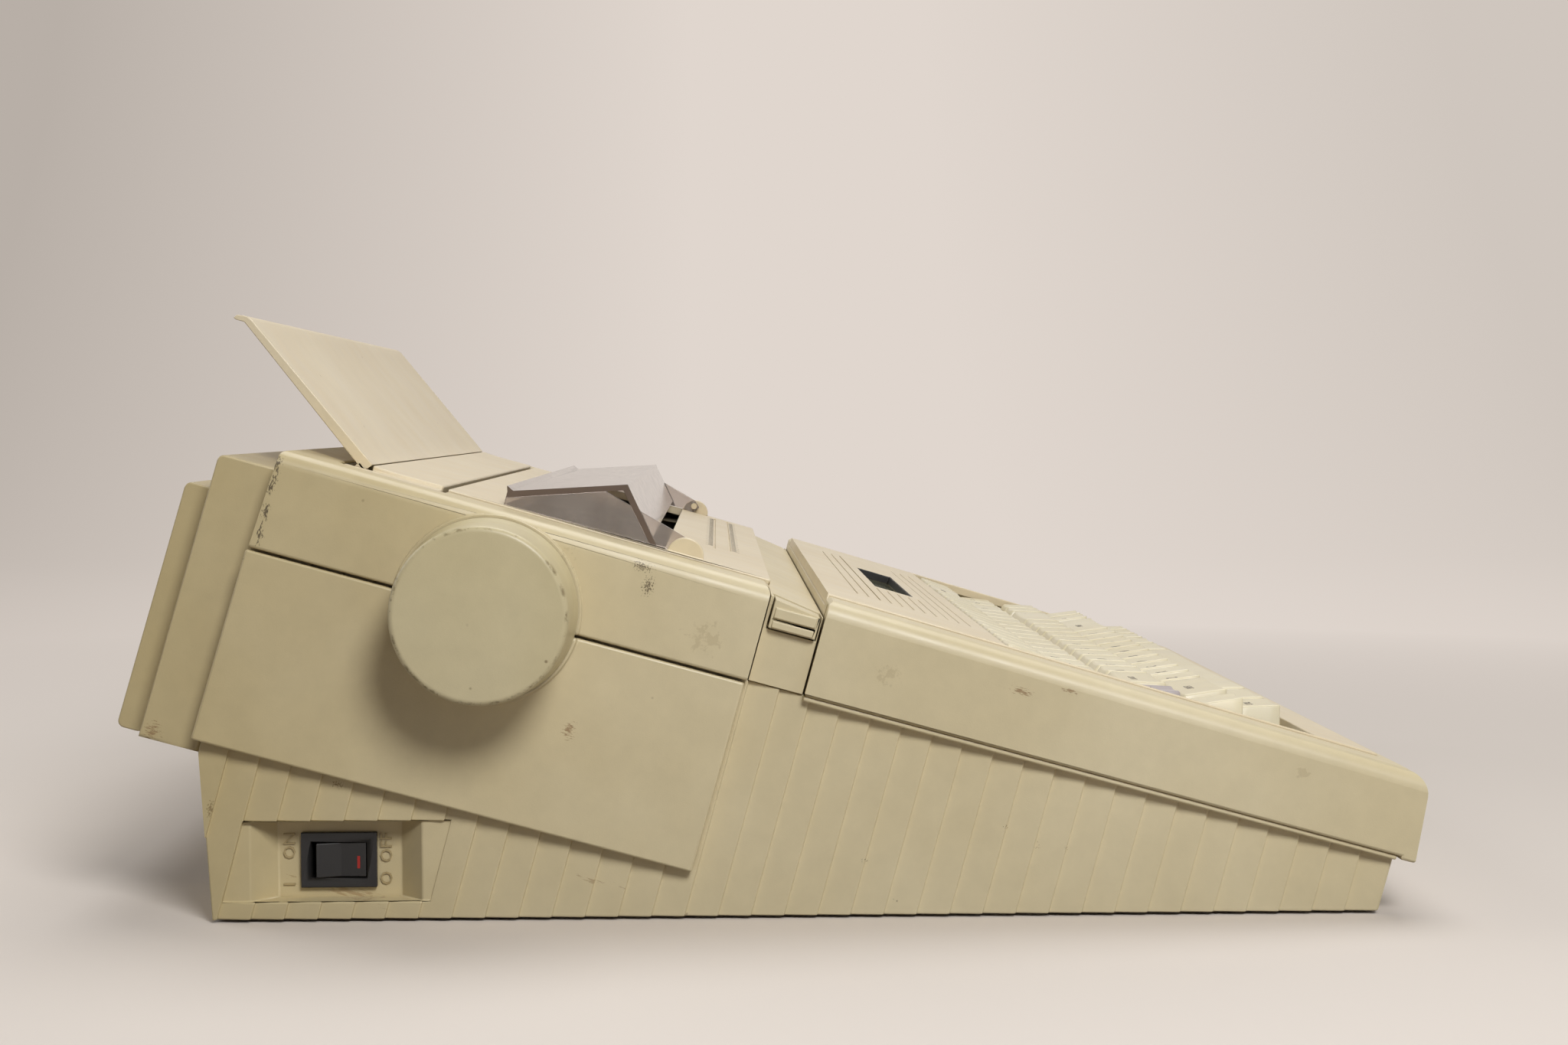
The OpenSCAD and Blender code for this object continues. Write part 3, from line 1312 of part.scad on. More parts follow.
lower_case();
rubber_feet();
side_panel_left();
side_panel_right();
keyboard_case();
keyboard_panel();
lcd_window();
lcd_module();
channel_trim();
top_cover();
paper_chute();
rear_cover();
mechanism_plate();
left_frame();
right_frame();
paper_pan();
carriage_rod();
carriage_rail();
carriage_motor();
feed_motor();
platen_bushes();
main_board();
transformer();
mains_inlet();
switch_bezel();
keyboard_plate();
keyboard_board();
screws();
drive_belt();
access_cover();
clear_cover();
paper_support();
latch_left();
latch_right();
rocker();
rear_door();
platen_knob();
platen_roller();
platen_shaft();
platen_gear();
idler_gear();
motor_pinion();
feed_roller_rear();
feed_roller_front();
paper_bail();
bail_rollers();
carriage_frame();
print_hammer();
wheel_motor();
print_wheel();
ribbon_cassette();
motor_pulley();
idler_pulley();
number_row_keys();
upper_row_keys();
home_row_keys();
lower_row_keys();
control_row_keys();
space_bar();
return_key();
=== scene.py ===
import json
import math

import bmesh
import bpy
from mathutils import Matrix, Vector


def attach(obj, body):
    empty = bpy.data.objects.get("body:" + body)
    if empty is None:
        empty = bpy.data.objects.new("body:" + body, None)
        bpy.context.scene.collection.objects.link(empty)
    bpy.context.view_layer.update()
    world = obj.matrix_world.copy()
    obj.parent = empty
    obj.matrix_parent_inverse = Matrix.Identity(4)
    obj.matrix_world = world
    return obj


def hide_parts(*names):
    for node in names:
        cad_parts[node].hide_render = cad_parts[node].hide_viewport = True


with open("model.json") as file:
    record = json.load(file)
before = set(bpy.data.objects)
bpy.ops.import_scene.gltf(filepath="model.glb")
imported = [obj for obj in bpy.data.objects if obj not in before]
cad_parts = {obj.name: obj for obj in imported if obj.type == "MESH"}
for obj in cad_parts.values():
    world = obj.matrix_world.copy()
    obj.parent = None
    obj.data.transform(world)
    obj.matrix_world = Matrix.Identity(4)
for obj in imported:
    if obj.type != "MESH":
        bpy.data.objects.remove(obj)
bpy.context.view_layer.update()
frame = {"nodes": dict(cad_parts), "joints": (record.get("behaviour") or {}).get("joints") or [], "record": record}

# Sizes are in millimetres until a piece is placed. The machine leans on its keyboard side, so most
# pieces are made along its slope: x to the typist's right, v up the slope, w square to it.
MM = 0.001
TILT = math.radians(15.4)
HALF_W = 200.0
KEYBOARD_V1 = 184.3
COVER_V0 = 201.4
PLATEN_AT = (COVER_V0 + 77.6, 0.5)


def joint_at(name):
    """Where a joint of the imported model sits, in millimetres."""
    return Vector(next(j for j in frame["joints"] if j["name"] == name)["pos_m"]) / MM


lean = Matrix.Rotation(TILT, 3, "X")
slope_start = joint_at("platen_turn") - lean @ Vector((0, *PLATEN_AT))
slope = Matrix.Scale(MM, 4) @ Matrix.Translation(slope_start) @ lean.to_4x4()
level = Matrix.Scale(MM, 4) @ Matrix.Translation((slope_start.x, slope_start.y, 0))

# Materials


def srgb(code):
    """A hex colour as the linear colour that the shaders take."""
    parts = [int(code[i : i + 2], 16) / 255 for i in (1, 3, 5)]
    return tuple(c / 12.92 if c <= 0.04045 else ((c + 0.055) / 1.055) ** 2.4 for c in parts) + (1,)


def add(tree, kind, sockets=None, **settings):
    """Adds a node with its settings, its values and its links."""
    made = tree.nodes.new(kind)
    for name, value in settings.items():
        setattr(made, name, value)
    for name, value in (sockets or {}).items():
        if isinstance(value, bpy.types.NodeSocket):
            tree.links.new(value, made.inputs[name])
        else:
            made.inputs[name].default_value = value
    return made


MIX_A, MIX_B, MIX_OUT = 6, 7, 2


def mixed(tree, factor, a, b, blend="MIX"):
    """One colour over another by a factor."""
    return add(tree, "ShaderNodeMix", {0: factor, MIX_A: a, MIX_B: b}, data_type="RGBA",
               blend_type=blend).outputs[MIX_OUT]


def stretched(tree, value, low, high, to_low=0.0, to_high=1.0):
    """A value moved from one range to another and kept inside it."""
    return add(tree, "ShaderNodeMapRange", {0: value, 1: low, 2: high, 3: to_low, 4: to_high}).outputs[0]


def joined(tree, a, b, operation="MULTIPLY"):
    """Two values multiplied, added or the like."""
    return add(tree, "ShaderNodeMath", {0: a, 1: b}, operation=operation).outputs[0]


def noise(tree, coords, size, detail=2.0, rough=0.5):
    """Noise whose grains are about this many millimetres."""
    return add(tree, "ShaderNodeTexNoise",
               {"Vector": coords, "Scale": 1 / size, "Detail": detail, "Roughness": rough}).outputs[0]


def blank(name):
    """A new material with its tree and its shader."""
    material = bpy.data.materials.new(name)
    material.use_nodes = True
    tree = material.node_tree
    return material, tree, tree.nodes["Principled BSDF"]


def started(name):
    """A new material with its tree, its shader and its place on the slope in millimetres."""
    material, tree, shader = blank(name)
    coords = add(tree, "ShaderNodeTexCoord").outputs["Object"]
    home = add(tree, "ShaderNodeMapping",
               {"Vector": coords, "Location": -(lean.inverted() @ slope_start), "Rotation": (-TILT, 0, 0),
                "Scale": (1 / MM, 1 / MM, 1 / MM)})
    return material, tree, shader, home.outputs[0]


def spots(tree, coords, places, grain):
    """Flecks round places of the slope, each with its reach: dense in the middle, a few at the fringe."""
    cover = None
    for centre, reach in places:
        near = add(tree, "ShaderNodeMapping", {"Vector": coords, "Location": centre, "Scale": reach},
                   vector_type="TEXTURE")
        ball = add(tree, "ShaderNodeTexGradient", {"Vector": near.outputs[0]}, gradient_type="SPHERICAL")
        patch = ball.outputs[1]
        cover = patch if cover is None else joined(tree, cover, patch, "MAXIMUM")
    drawn = add(tree, "ShaderNodeMapping", {"Vector": coords, "Scale": tuple(1 / g for g in grain)})
    fine = noise(tree, drawn.outputs[0], 1.0, 4, 0.65)
    dense = stretched(tree, joined(tree, fine, joined(tree, cover, 0.3), "ADD"), 0.68, 0.75)
    return joined(tree, dense, stretched(tree, cover, 0.0, 0.15))


def rim_grime(tree, coords, centre, radius):
    """Finger grime in broken arcs round the rim of a knob whose axis runs along x."""
    offset = add(tree, "ShaderNodeVectorMath", {0: coords, 1: (0, *centre)}, operation="SUBTRACT").outputs[0]
    flat = add(tree, "ShaderNodeVectorMath", {0: offset, 1: (0, 1, 1)}, operation="MULTIPLY").outputs[0]
    away = add(tree, "ShaderNodeVectorMath", {0: flat}, operation="LENGTH").outputs["Value"]
    off_ring = add(tree, "ShaderNodeMath", {0: joined(tree, away, radius, "SUBTRACT")}, operation="ABSOLUTE")
    band = stretched(tree, off_ring.outputs[0], 0.7, 0.1)
    broken = stretched(tree, noise(tree, coords, 5, 5, 0.7), 0.5, 0.6)
    return joined(tree, band, broken)


def moulded(name, light, deep, grain=0.5, relief=0.05, roughness=0.42, grime_and_shade_tone="#6f5c38", marks=(),
            yellowing_and_shade=None, rim=None):
    """Injection-moulded plastic: fine spark-eroded grain, slow yellowing, and grime with painted shade in seams.
    """
    material, tree, shader, coords = started(name)
    slow = stretched(tree, noise(tree, coords, 80, 3, 0.55), 0.35, 0.65)
    # yellowing and painted shade: along v the tone turns to the deep one, so the rear comes out darker
    if yellowing_and_shade:
        along = add(tree, "ShaderNodeSeparateXYZ", {0: coords}).outputs["Y"]
        slow = joined(tree, joined(tree, slow, 0.25), stretched(tree, along, *yellowing_and_shade, 0.0, 0.75), "ADD")
    colour = mixed(tree, slow, srgb(light), srgb(deep))
    mottle = stretched(tree, noise(tree, coords, 7, 4, 0.6), 0.3, 0.7, 0.965, 1.02)
    colour = mixed(tree, 1.0, colour, mottle, "MULTIPLY")
    # grime and painted shade: the colour darkens towards the grime tone in hollows, creases and joints
    hollow = add(tree, "ShaderNodeAmbientOcclusion", {"Distance": 2.5 * MM}, samples=6)
    grime_and_shade = stretched(tree, hollow.outputs["AO"], 0.55, 0.1, 0.0, 0.65)
    colour = mixed(tree, grime_and_shade, colour, srgb(grime_and_shade_tone))
    # specks of dirt not quite a millimetre wide, one or two to the hand's width
    cells = add(tree, "ShaderNodeTexVoronoi", {"Vector": coords, "Scale": 1 / 12})
    speck = stretched(tree, cells.outputs["Distance"], 0.05, 0.02)
    chosen = stretched(tree, noise(tree, coords, 35, 2), 0.56, 0.6)
    colour = mixed(tree, joined(tree, joined(tree, speck, chosen), 0.7), colour, srgb("#6a5434"))
    for shade, size, strength, places in marks:
        patch = joined(tree, spots(tree, coords, places, size), strength)
        colour = mixed(tree, patch, colour, srgb(shade))
    if rim:
        colour = mixed(tree, joined(tree, rim_grime(tree, coords, *rim), 0.7), colour, srgb("#6b5833"))
    fine = noise(tree, coords, grain, 2, 0.6)
    lumps = add(tree, "ShaderNodeBump", {"Strength": 0.5, "Distance": relief * MM, "Height": fine})
    tree.links.new(colour, shader.inputs["Base Color"])
    tree.links.new(lumps.outputs[0], shader.inputs["Normal"])
    rough = stretched(tree, noise(tree, coords, 14, 3), 0.3, 0.7, roughness - 0.04, roughness + 0.05)
    tree.links.new(rough, shader.inputs["Roughness"])
    shader.inputs["IOR"].default_value = 1.53
    return material


# rolling marks run this many millimetres along the sheet and across it
ROLL_LENGTH, ROLL_WIDTH = 60.0, 0.25


def metal(name, colour, worn, roughness, lumps=None):
    """Sheet or rod with long fine rolling marks, or a casting or sintered part with lumps of a size."""
    material, tree, shader, coords = started(name)
    if lumps:
        fine = noise(tree, coords, lumps, 4, 0.6)
    else:
        marks = add(tree, "ShaderNodeMapping",
                    {"Vector": coords, "Scale": (1 / ROLL_LENGTH, 1 / ROLL_WIDTH, 1 / ROLL_WIDTH)})
        fine = noise(tree, marks.outputs[0], 1.0, 3)
    colour = mixed(tree, stretched(tree, noise(tree, coords, 25, 3), 0.35, 0.65), srgb(colour), srgb(worn))
    tree.links.new(colour, shader.inputs["Base Color"])
    rough = stretched(tree, fine, 0.3, 0.7, roughness - 0.08, roughness + 0.1)
    tree.links.new(rough, shader.inputs["Roughness"])
    bump = add(tree, "ShaderNodeBump", {"Strength": 0.3, "Distance": 0.02 * MM, "Height": fine})
    tree.links.new(bump.outputs[0], shader.inputs["Normal"])
    shader.inputs["Metallic"].default_value = 1.0
    return material


def rubber(name, colour, dusty, grain):
    """Moulded or ground rubber: matt, with a grain and pale dust in patches."""
    material, tree, shader, coords = started(name)
    fine = noise(tree, coords, grain, 3, 0.6)
    colour = mixed(tree, stretched(tree, noise(tree, coords, 9, 4, 0.6), 0.45, 0.75, 0.0, 0.7),
                   srgb(colour), srgb(dusty))
    tree.links.new(colour, shader.inputs["Base Color"])
    bump = add(tree, "ShaderNodeBump", {"Strength": 0.4, "Distance": 0.04 * MM, "Height": fine})
    tree.links.new(bump.outputs[0], shader.inputs["Normal"])
    tree.links.new(stretched(tree, fine, 0.3, 0.7, 0.6, 0.75), shader.inputs["Roughness"])
    return material


def acrylic(name, tint, haze, roughness, transmission, alpha=1.0):
    """Cast acrylic sheet: tinted through and faintly scratched, with dust that dulls it in places."""
    material, tree, shader, coords = started(name)
    dust = stretched(tree, noise(tree, coords, 12, 5, 0.65), 0.4, 0.75)
    tree.links.new(mixed(tree, dust, srgb(tint), srgb(haze)), shader.inputs["Base Color"])
    rough = stretched(tree, noise(tree, coords, 3, 4, 0.6), 0.3, 0.7, roughness, roughness + 0.08)
    tree.links.new(rough, shader.inputs["Roughness"])
    shader.inputs["Transmission Weight"].default_value = transmission
    shader.inputs["Alpha"].default_value = alpha
    shader.inputs["IOR"].default_value = 1.49
    return material


def laminate(name):
    """Glass-fibre board: green lacquer over a weave and fine copper tracks."""
    material, tree, shader, coords = started(name)
    weave = add(tree, "ShaderNodeTexWave",
                {"Vector": coords, "Scale": 1 / 3.2, "Distortion": 3.0, "Detail": 2.0},
                wave_type="BANDS", bands_direction="DIAGONAL")
    tracks = stretched(tree, weave.outputs[1], 0.62, 0.7)
    tone = mixed(tree, noise(tree, coords, 20, 2), srgb("#23502f"), srgb("#316b3e"))
    tree.links.new(mixed(tree, tracks, tone, srgb("#4b8a50")), shader.inputs["Base Color"])
    bump = add(tree, "ShaderNodeBump", {"Strength": 0.3, "Distance": 0.05 * MM, "Height": tracks})
    tree.links.new(bump.outputs[0], shader.inputs["Normal"])
    shader.inputs["Roughness"].default_value = 0.35
    return material


def liquid_crystal(name):
    """Reflective display: a grey-green field with faint character cells of about 3 by 5 mm."""
    material, tree, shader, coords = started(name)
    cells = add(tree, "ShaderNodeTexBrick",
                {"Vector": coords, "Color1": srgb("#b7b896"), "Color2": srgb("#afb08f"),
                 "Mortar": srgb("#c6c6a8"), "Scale": 1.0, "Mortar Size": 0.12,
                 "Brick Width": 2.9, "Row Height": 5.2}, offset=0.0)
    tree.links.new(cells.outputs[0], shader.inputs["Base Color"])
    shader.inputs["Roughness"].default_value = 0.5
    shader.inputs["Specular IOR Level"].default_value = 0.1
    return material


# where scuffs and grime sit on the case, as they came with years on a desk: shade, grain in millimetres
# along x, v and w, strength, and places with their reach
cover_corner = [((-200, 347, w), (6, 1.8, 5)) for w in (4, 11, 19, 25)]
case_marks = (
    ("#3f3222", (3, 0.5, 1.2), 0.85, cover_corner + [((-200, 350.5, -4), (6, 1.6, 6))]),
    ("#4d3c27", (2, 0.5, 0.6), 0.75, [((-200, 239, 24), (3, 5, 2.5)), ((-200, 236, 19), (3, 3, 5)),
                                      ((-196.5, 143, -51), (2, 2, 1.2)), ((-196.5, 154, -42), (2, 2, 1.2))]),
    ("#86613c", (3, 1.8, 0.3), 0.7, [((-200, 123.8, 17.6), (3, 6, 1.8)), ((-200, 110.6, 21.4), (3, 4, 1.2)),
                                     ((-190, 364, -60), (6, 4, 5)), ((-200, 247, -27), (3, 3, 4))]),
    ("#7a6138", (2, 0.6, 0.6), 0.7, [((-196.5, 117, -22), (2, 1.5, 2.2)), ((-196.5, 107, -25), (2, 1.5, 2)),
                                     ((-196.5, 98, -23.5), (2, 1.5, 1.5)), ((-196.5, 308, -60), (2, 4, 2)),
                                     ((-196.5, 341, -76), (2, 2, 4))]),
    ("#8a6136", (3, 5, 0.8), 0.45, [((-189, 300, -91), (12, 26, 2.5)), ((-196.5, 229, -68), (2, 12, 1.5))]),
    ("#a08d66", (4, 2.5, 2.5), 0.25, [((-200, 216, 9), (4, 9, 9)), ((-200, 163, 12), (4, 7, 6)),
                                      ((-200, 39, 16), (4, 5, 3)), ((-200, 262, 20), (4, 6, 6))]),
)

# the case's ABS: a satin skin whose grain sparkles along the rounded edges, and yellower and darker towards
# the rear: partly yellowing where it stood in the light, partly painted shade where less light reaches it
shell = moulded("aged_beige_abs", "#dccfac", "#bdab7c", roughness=0.38, marks=case_marks,
                yellowing_and_shade=(190, 400))
knob_abs = moulded("handled_beige_abs", "#cfc39e", "#c8bb93", roughness=0.38, rim=(PLATEN_AT, 24.4))
# the inset panels and the paper support have yellowed less, so they look pinker and paler
panel_abs = moulded("pale_beige_abs", "#e4d6b7", "#decead", roughness=0.36)
# doubly moulded keycaps: smoother and creamier than the case
key_abs = moulded("cream_abs_keycap", "#e8dfc2", "#e0d5b4", grain=0.3, relief=0.02, roughness=0.34)
mauve_key = moulded("mauve_abs_keycap", "#bcb3b2", "#afa5a5", grain=0.3, relief=0.02, roughness=0.36)
black_abs = moulded("black_polycarbonate", "#0e0e10", "#161618", grain=0.4, relief=0.04, roughness=0.42,
                    grime_and_shade_tone="#3a352c")
red_mark = moulded("red_filled_abs", "#b3261e", "#9c2019", grain=0.3, relief=0.01, roughness=0.4)
nylon = moulded("white_nylon", "#dcd9cf", "#cfccc0", grain=0.6, relief=0.02, roughness=0.4)
# raised letters darker than the floor around them: partly grime and partly painted shade along their edges
grimed_and_shaded_letter_abs = moulded("grimed_and_shaded_beige_letters", "#b5a27a", "#a5936a", grain=0.3, relief=0.02)
# screen-printed ink: flat and matt, barely raised
ink = moulded("grey_print_ink", "#6b6660", "#77716a", grain=0.3, relief=0.01, roughness=0.55)
steel = metal("rolled_zinc_plated_steel", "#a4a7aa", "#8d9094", 0.36)
bronze = metal("sintered_bronze", "#a98a55", "#8f7344", 0.45, lumps=0.3)
iron = metal("lacquered_core_iron", "#625d57", "#4a4642", 0.5, lumps=0.6)
black_rubber = rubber("black_nitrile_rubber", "#1d1d1f", "#4b4843", 0.5)
smoke = acrylic("smoke_acrylic", "#ddd3cb", "#c6bab0", 0.05, 0.78)
# sawn edges of the smoke sheet: the tint gathers along the sheet, so they read as a brown band
smoke_edge = moulded("sawn_smoke_acrylic", "#5c4d42", "#66564a", grain=0.3, relief=0.02, roughness=0.3,
                     grime_and_shade_tone="#3e342c")
# thin and clear enough for the lamps to reach the display behind it
window = acrylic("clear_display_window", "#c9cbb6", "#bfc1ad", 0.04, 0.0, 0.25)
display = liquid_crystal("reflective_display")
board = laminate("green_board_lacquer")

# Making and joining pieces

# points this near in millimetres are one, and faces this near in angle are one flat face
SAME_POINT, SAME_PLANE = 0.003, math.radians(0.5)
SHARP = math.radians(30)
# corners more pointed than this stay unrounded, because a rounding would cross itself there
POINTED = math.radians(28)


def finished(name, bm, body, materials, nodes=(), edge=0.0, corner=0.0, into=slope):
    """Makes a piece of a mesh in millimetres: rounds its edges, puts it in place and joins it to a body."""
    mesh = bpy.data.meshes.new(name)
    if edge:
        weigh_edges(bm, edge, corner)
    bm.to_mesh(mesh)
    bm.free()
    mesh.transform(into)
    mesh.shade_smooth()
    mesh.set_sharp_from_angle(angle=SHARP)
    piece = bpy.data.objects.new(name, mesh)
    bpy.context.scene.collection.objects.link(piece)
    for material in materials:
        mesh.materials.append(material)
    if edge:
        rounding = piece.modifiers.new("rounded_edges", "BEVEL")
        rounding.width = max(edge, corner) * MM
        rounding.segments = 3
        rounding.limit_method = "WEIGHT"
        rounding.use_clamp_overlap = False
        flats = piece.modifiers.new("flat_faces_first", "WEIGHTED_NORMAL")
        flats.keep_sharp = True
    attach(piece, body)
    if nodes:
        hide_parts(*nodes)


def weigh_edges(bm, edge, corner):
    """Weighs each sharp edge for its rounding: more at upright outer corners, less beside thin faces."""
    layer = bm.edges.layers.float.new("bevel_weight_edge")
    outer = max(abs(p.co.x) for p in bm.verts) - 0.1
    for e in bm.edges:
        if len(e.link_faces) != 2 or e.calc_face_angle(0.0) < SHARP:
            continue
        ends = [loop.calc_angle() for side in e.link_loops for loop in (side, side.link_loop_next)]
        if min(ends) < POINTED:
            continue
        run = e.verts[1].co - e.verts[0].co
        upright = abs(run.z) > 0.95 * run.length and run.length > 8
        wanted = corner if corner and upright and abs(e.verts[0].co.x) > outer else edge
        # at most 0.4 of the narrower face beside the edge, and 0.6 of the edge's own length
        strip = min(f.calc_area() / run.length for f in e.link_faces)
        e[layer] = min(wanted, 0.4 * strip, 0.6 * run.length) / max(edge, corner)
    even_out(bm, layer)


def even_out(bm, layer):
    """Gives edges that run on from each other one rounding, because unequal ones don't meet."""
    waiting = list(bm.verts)
    while waiting:
        p = waiting.pop()
        rounded = [e for e in p.link_edges if e[layer] > 0]
        for i, a in enumerate(rounded):
            for b in rounded[i + 1 :]:
                along_a, along_b = (e.other_vert(p).co - p.co for e in (a, b))
                if abs(a[layer] - b[layer]) < 0.001 or along_a.normalized().dot(along_b.normalized()) > -0.7:
                    continue
                a[layer] = b[layer] = min(a[layer], b[layer])
                waiting += [a.other_vert(p), b.other_vert(p)]


def body_of(node):
    bodies = frame["record"]["behaviour"]["bodies"]
    return next(name for name, nodes in bodies.items() if node in nodes)


def merged(node):
    """A CAD node's triangles as one clean mesh with flat faces joined, in slope millimetres."""
    bm = bmesh.new()
    bm.from_mesh(frame["nodes"][node].data)
    bmesh.ops.transform(bm, matrix=slope.inverted(), verts=bm.verts)
    bmesh.ops.remove_doubles(bm, verts=bm.verts, dist=SAME_POINT)
    bmesh.ops.dissolve_limit(bm, angle_limit=SAME_PLANE, verts=bm.verts, edges=bm.edges)
    return bm


def refined(node, material, edge=0.4, corner=0.0, paint=None):
    """A CAD node with flat faces joined and edges rounded; paint gives some faces another finish."""
    bm = merged(node)
    materials = [material]
    if paint:
        other, chosen = paint
        materials.append(other)
        for face in bm.faces:
            if chosen(face.calc_center_median(), face.normal):
                face.material_index = 1
    finished(node + "_finished", bm, body_of(node), materials, (node,), edge, corner)


def bar(bm, outline, stations):
    """A solid of an outline (v, w) drawn along x, with a ring of points at each station."""
    face = bm.faces.new([bm.verts.new((stations[0], v, w)) for v, w in outline])
    for before, after in zip(stations, stations[1:]):
        grown = bmesh.ops.extrude_face_region(bm, geom=[face])["geom"]
        moved = [p for p in grown if isinstance(p, bmesh.types.BMVert)]
        bmesh.ops.translate(bm, vec=(after - before, 0, 0), verts=moved)
        face = next(f for f in grown if isinstance(f, bmesh.types.BMFace))
    bmesh.ops.recalc_face_normals(bm, faces=bm.faces)


def rod(bm, v, w, radius, x0, x1):
    """A round bar along x."""
    at = Matrix.Translation(((x0 + x1) / 2, v, w)) @ Matrix.Rotation(math.radians(90), 4, "Y")
    bmesh.ops.create_cone(bm, cap_ends=True, segments=32, radius1=radius, radius2=radius, depth=x1 - x0,
                          matrix=at)


def slab(bm, low, high):
    """A block between two corners."""
    low, high = Vector(low), Vector(high)
    at = Matrix.Translation((low + high) / 2) @ Matrix.Diagonal((*(high - low), 1))
    bmesh.ops.create_cube(bm, size=1, matrix=at)


# a capital's height as a share of the type's size
CAPITAL = 0.72


def lettering(text, height, raised):
    """Plain type as a thin solid, centred on the origin, in millimetres."""
    curve = bpy.data.curves.new("type", "FONT")
    curve.body = text
    curve.size = height / CAPITAL
    curve.align_x = "CENTER"
    curve.align_y = "CENTER"
    curve.extrude = raised / 2
    curve.resolution_u = 2
    shape = bpy.data.objects.new("type", curve)
    mesh = bpy.data.meshes.new_from_object(shape)
    bpy.data.objects.remove(shape)
    bpy.data.curves.remove(curve)
    return mesh


# The case and the parts inside it

case_edges = {
    "lower_case": (0.5, 0), "side_panel_left": (0.7, 1.0), "side_panel_right": (0.7, 1.0),
    "keyboard_case": (0.8, 3.0), "channel_trim": (0.15, 0), "top_cover": (0.9, 2.6),
    "rear_cover": (1.0, 1.2), "rear_door": (1.2, 1.6), "latch_left": (0.3, 0), "latch_right": (0.3, 0),
}
for node, (edge, corner) in case_edges.items():
    refined(node, shell, edge, corner)
refined("access_cover", panel_abs, 0.4)
refined("paper_chute", panel_abs, 0.6)

inner_finish = {
    steel: ("mechanism_plate", "left_frame", "right_frame", "paper_pan", "carriage_rod", "carriage_rail",
            "carriage_motor", "feed_motor", "keyboard_plate", "screws", "platen_shaft", "paper_bail",
            "print_hammer", "wheel_motor"),
    black_abs: ("mains_inlet", "switch_bezel", "rocker", "carriage_frame", "print_wheel", "ribbon_cassette"),
    black_rubber: ("rubber_feet", "platen_roller", "feed_roller_rear", "feed_roller_front", "bail_rollers",
                   "drive_belt"),
    nylon: ("platen_gear", "idler_gear", "motor_pulley", "idler_pulley"),
    bronze: ("platen_bushes", "motor_pinion"),
    board: ("main_board", "keyboard_board"),
    iron: ("transformer",),
    window: ("lcd_window",),
}
for material, nodes in inner_finish.items():
    for node in nodes:
        refined(node, material, 0.25)

# Display: its well in the panel is black, and the crystal lies at the bottom of the module
DISPLAY_X = (-46.0, 70.0)
DISPLAY_V = (KEYBOARD_V1 - 37.3, KEYBOARD_V1 - 23.8)


def in_display(at, slack):
    across = DISPLAY_X[0] - slack < at.x < DISPLAY_X[1] + slack
    return across and DISPLAY_V[0] - slack < at.y < DISPLAY_V[1] + slack


refined("keyboard_panel", panel_abs, 0.4,
        paint=(black_abs, lambda at, out: in_display(at, 0.5) and abs(out.z) < 0.5))
refined("lcd_module", black_abs, 0.2, paint=(display, lambda at, out: in_display(at, -1.0) and out.z > 0.9))

# Platen knob: a turned shape with a soft rim, a slight flare beside the case and a hollow back
KNOB_BACK, KNOB_FACE = -202.1, -226.0
KNOB_R, FLARE_R, HUB_R, SHAFT_R = 25.1, 26.4, 8.0, 4.02
RIM, FACE_T, WALL_T = 1.9, 2.5, 3.0
# from the knob's back: how far out its bore reaches, and how far into the case its hub does
BORE_END, HUB_END = 21.1, -15.0


def platen_knob():
    deep = KNOB_BACK - KNOB_FACE
    rim = [(deep - RIM + RIM * math.sin(a), KNOB_R - RIM + RIM * math.cos(a))
           for a in (math.radians(15 * i) for i in range(7))]
    flare = [(0, FLARE_R), (0.8, FLARE_R - 0.1), (2.2, FLARE_R - 0.5), (4, KNOB_R + 0.45), (7, KNOB_R + 0.2)]
    hollow = [(BORE_END, 0), (BORE_END, SHAFT_R), (HUB_END, SHAFT_R), (HUB_END, HUB_R),
              (deep - FACE_T, HUB_R), (deep - FACE_T, KNOB_R - WALL_T), (0, FLARE_R - 2.5)]
    outline = [*hollow, *flare, *rim, (deep, 0)]
    bm = bmesh.new()
    line = [bm.verts.new((KNOB_BACK - out, PLATEN_AT[0], PLATEN_AT[1] + r)) for out, r in outline]
    edges = [bm.edges.new(pair) for pair in zip(line, line[1:])]
    bmesh.ops.spin(bm, geom=line + edges, cent=(KNOB_BACK, *PLATEN_AT), axis=(1, 0, 0),
                   angle=math.radians(360), steps=96, use_merge=True)
    bmesh.ops.remove_doubles(bm, verts=bm.verts, dist=0.001)
    bmesh.ops.recalc_face_normals(bm, faces=bm.faces)
    finished("platen_knob_turned", bm, body_of("platen_knob"), [knob_abs], ("platen_knob",))


platen_knob()

# Paper support: a sheet that thins towards its lip, with a shallow dish inside its rims
SUPPORT_AT = (COVER_V0 + 128, 26.438)
SUPPORT_RISE = math.radians(36.6)
SUPPORT_HALF, SUPPORT_LEN, SUPPORT_BACK = 174.0, 55.3, 3.0
FOOT_T, TIP_T = 3.3, 2.1
DISH, DISH_SIDE, DISH_END = 0.9, 14, 10
PIN_HALF, PIN_R, BARREL_R = 177.2, 1.5, 1.9


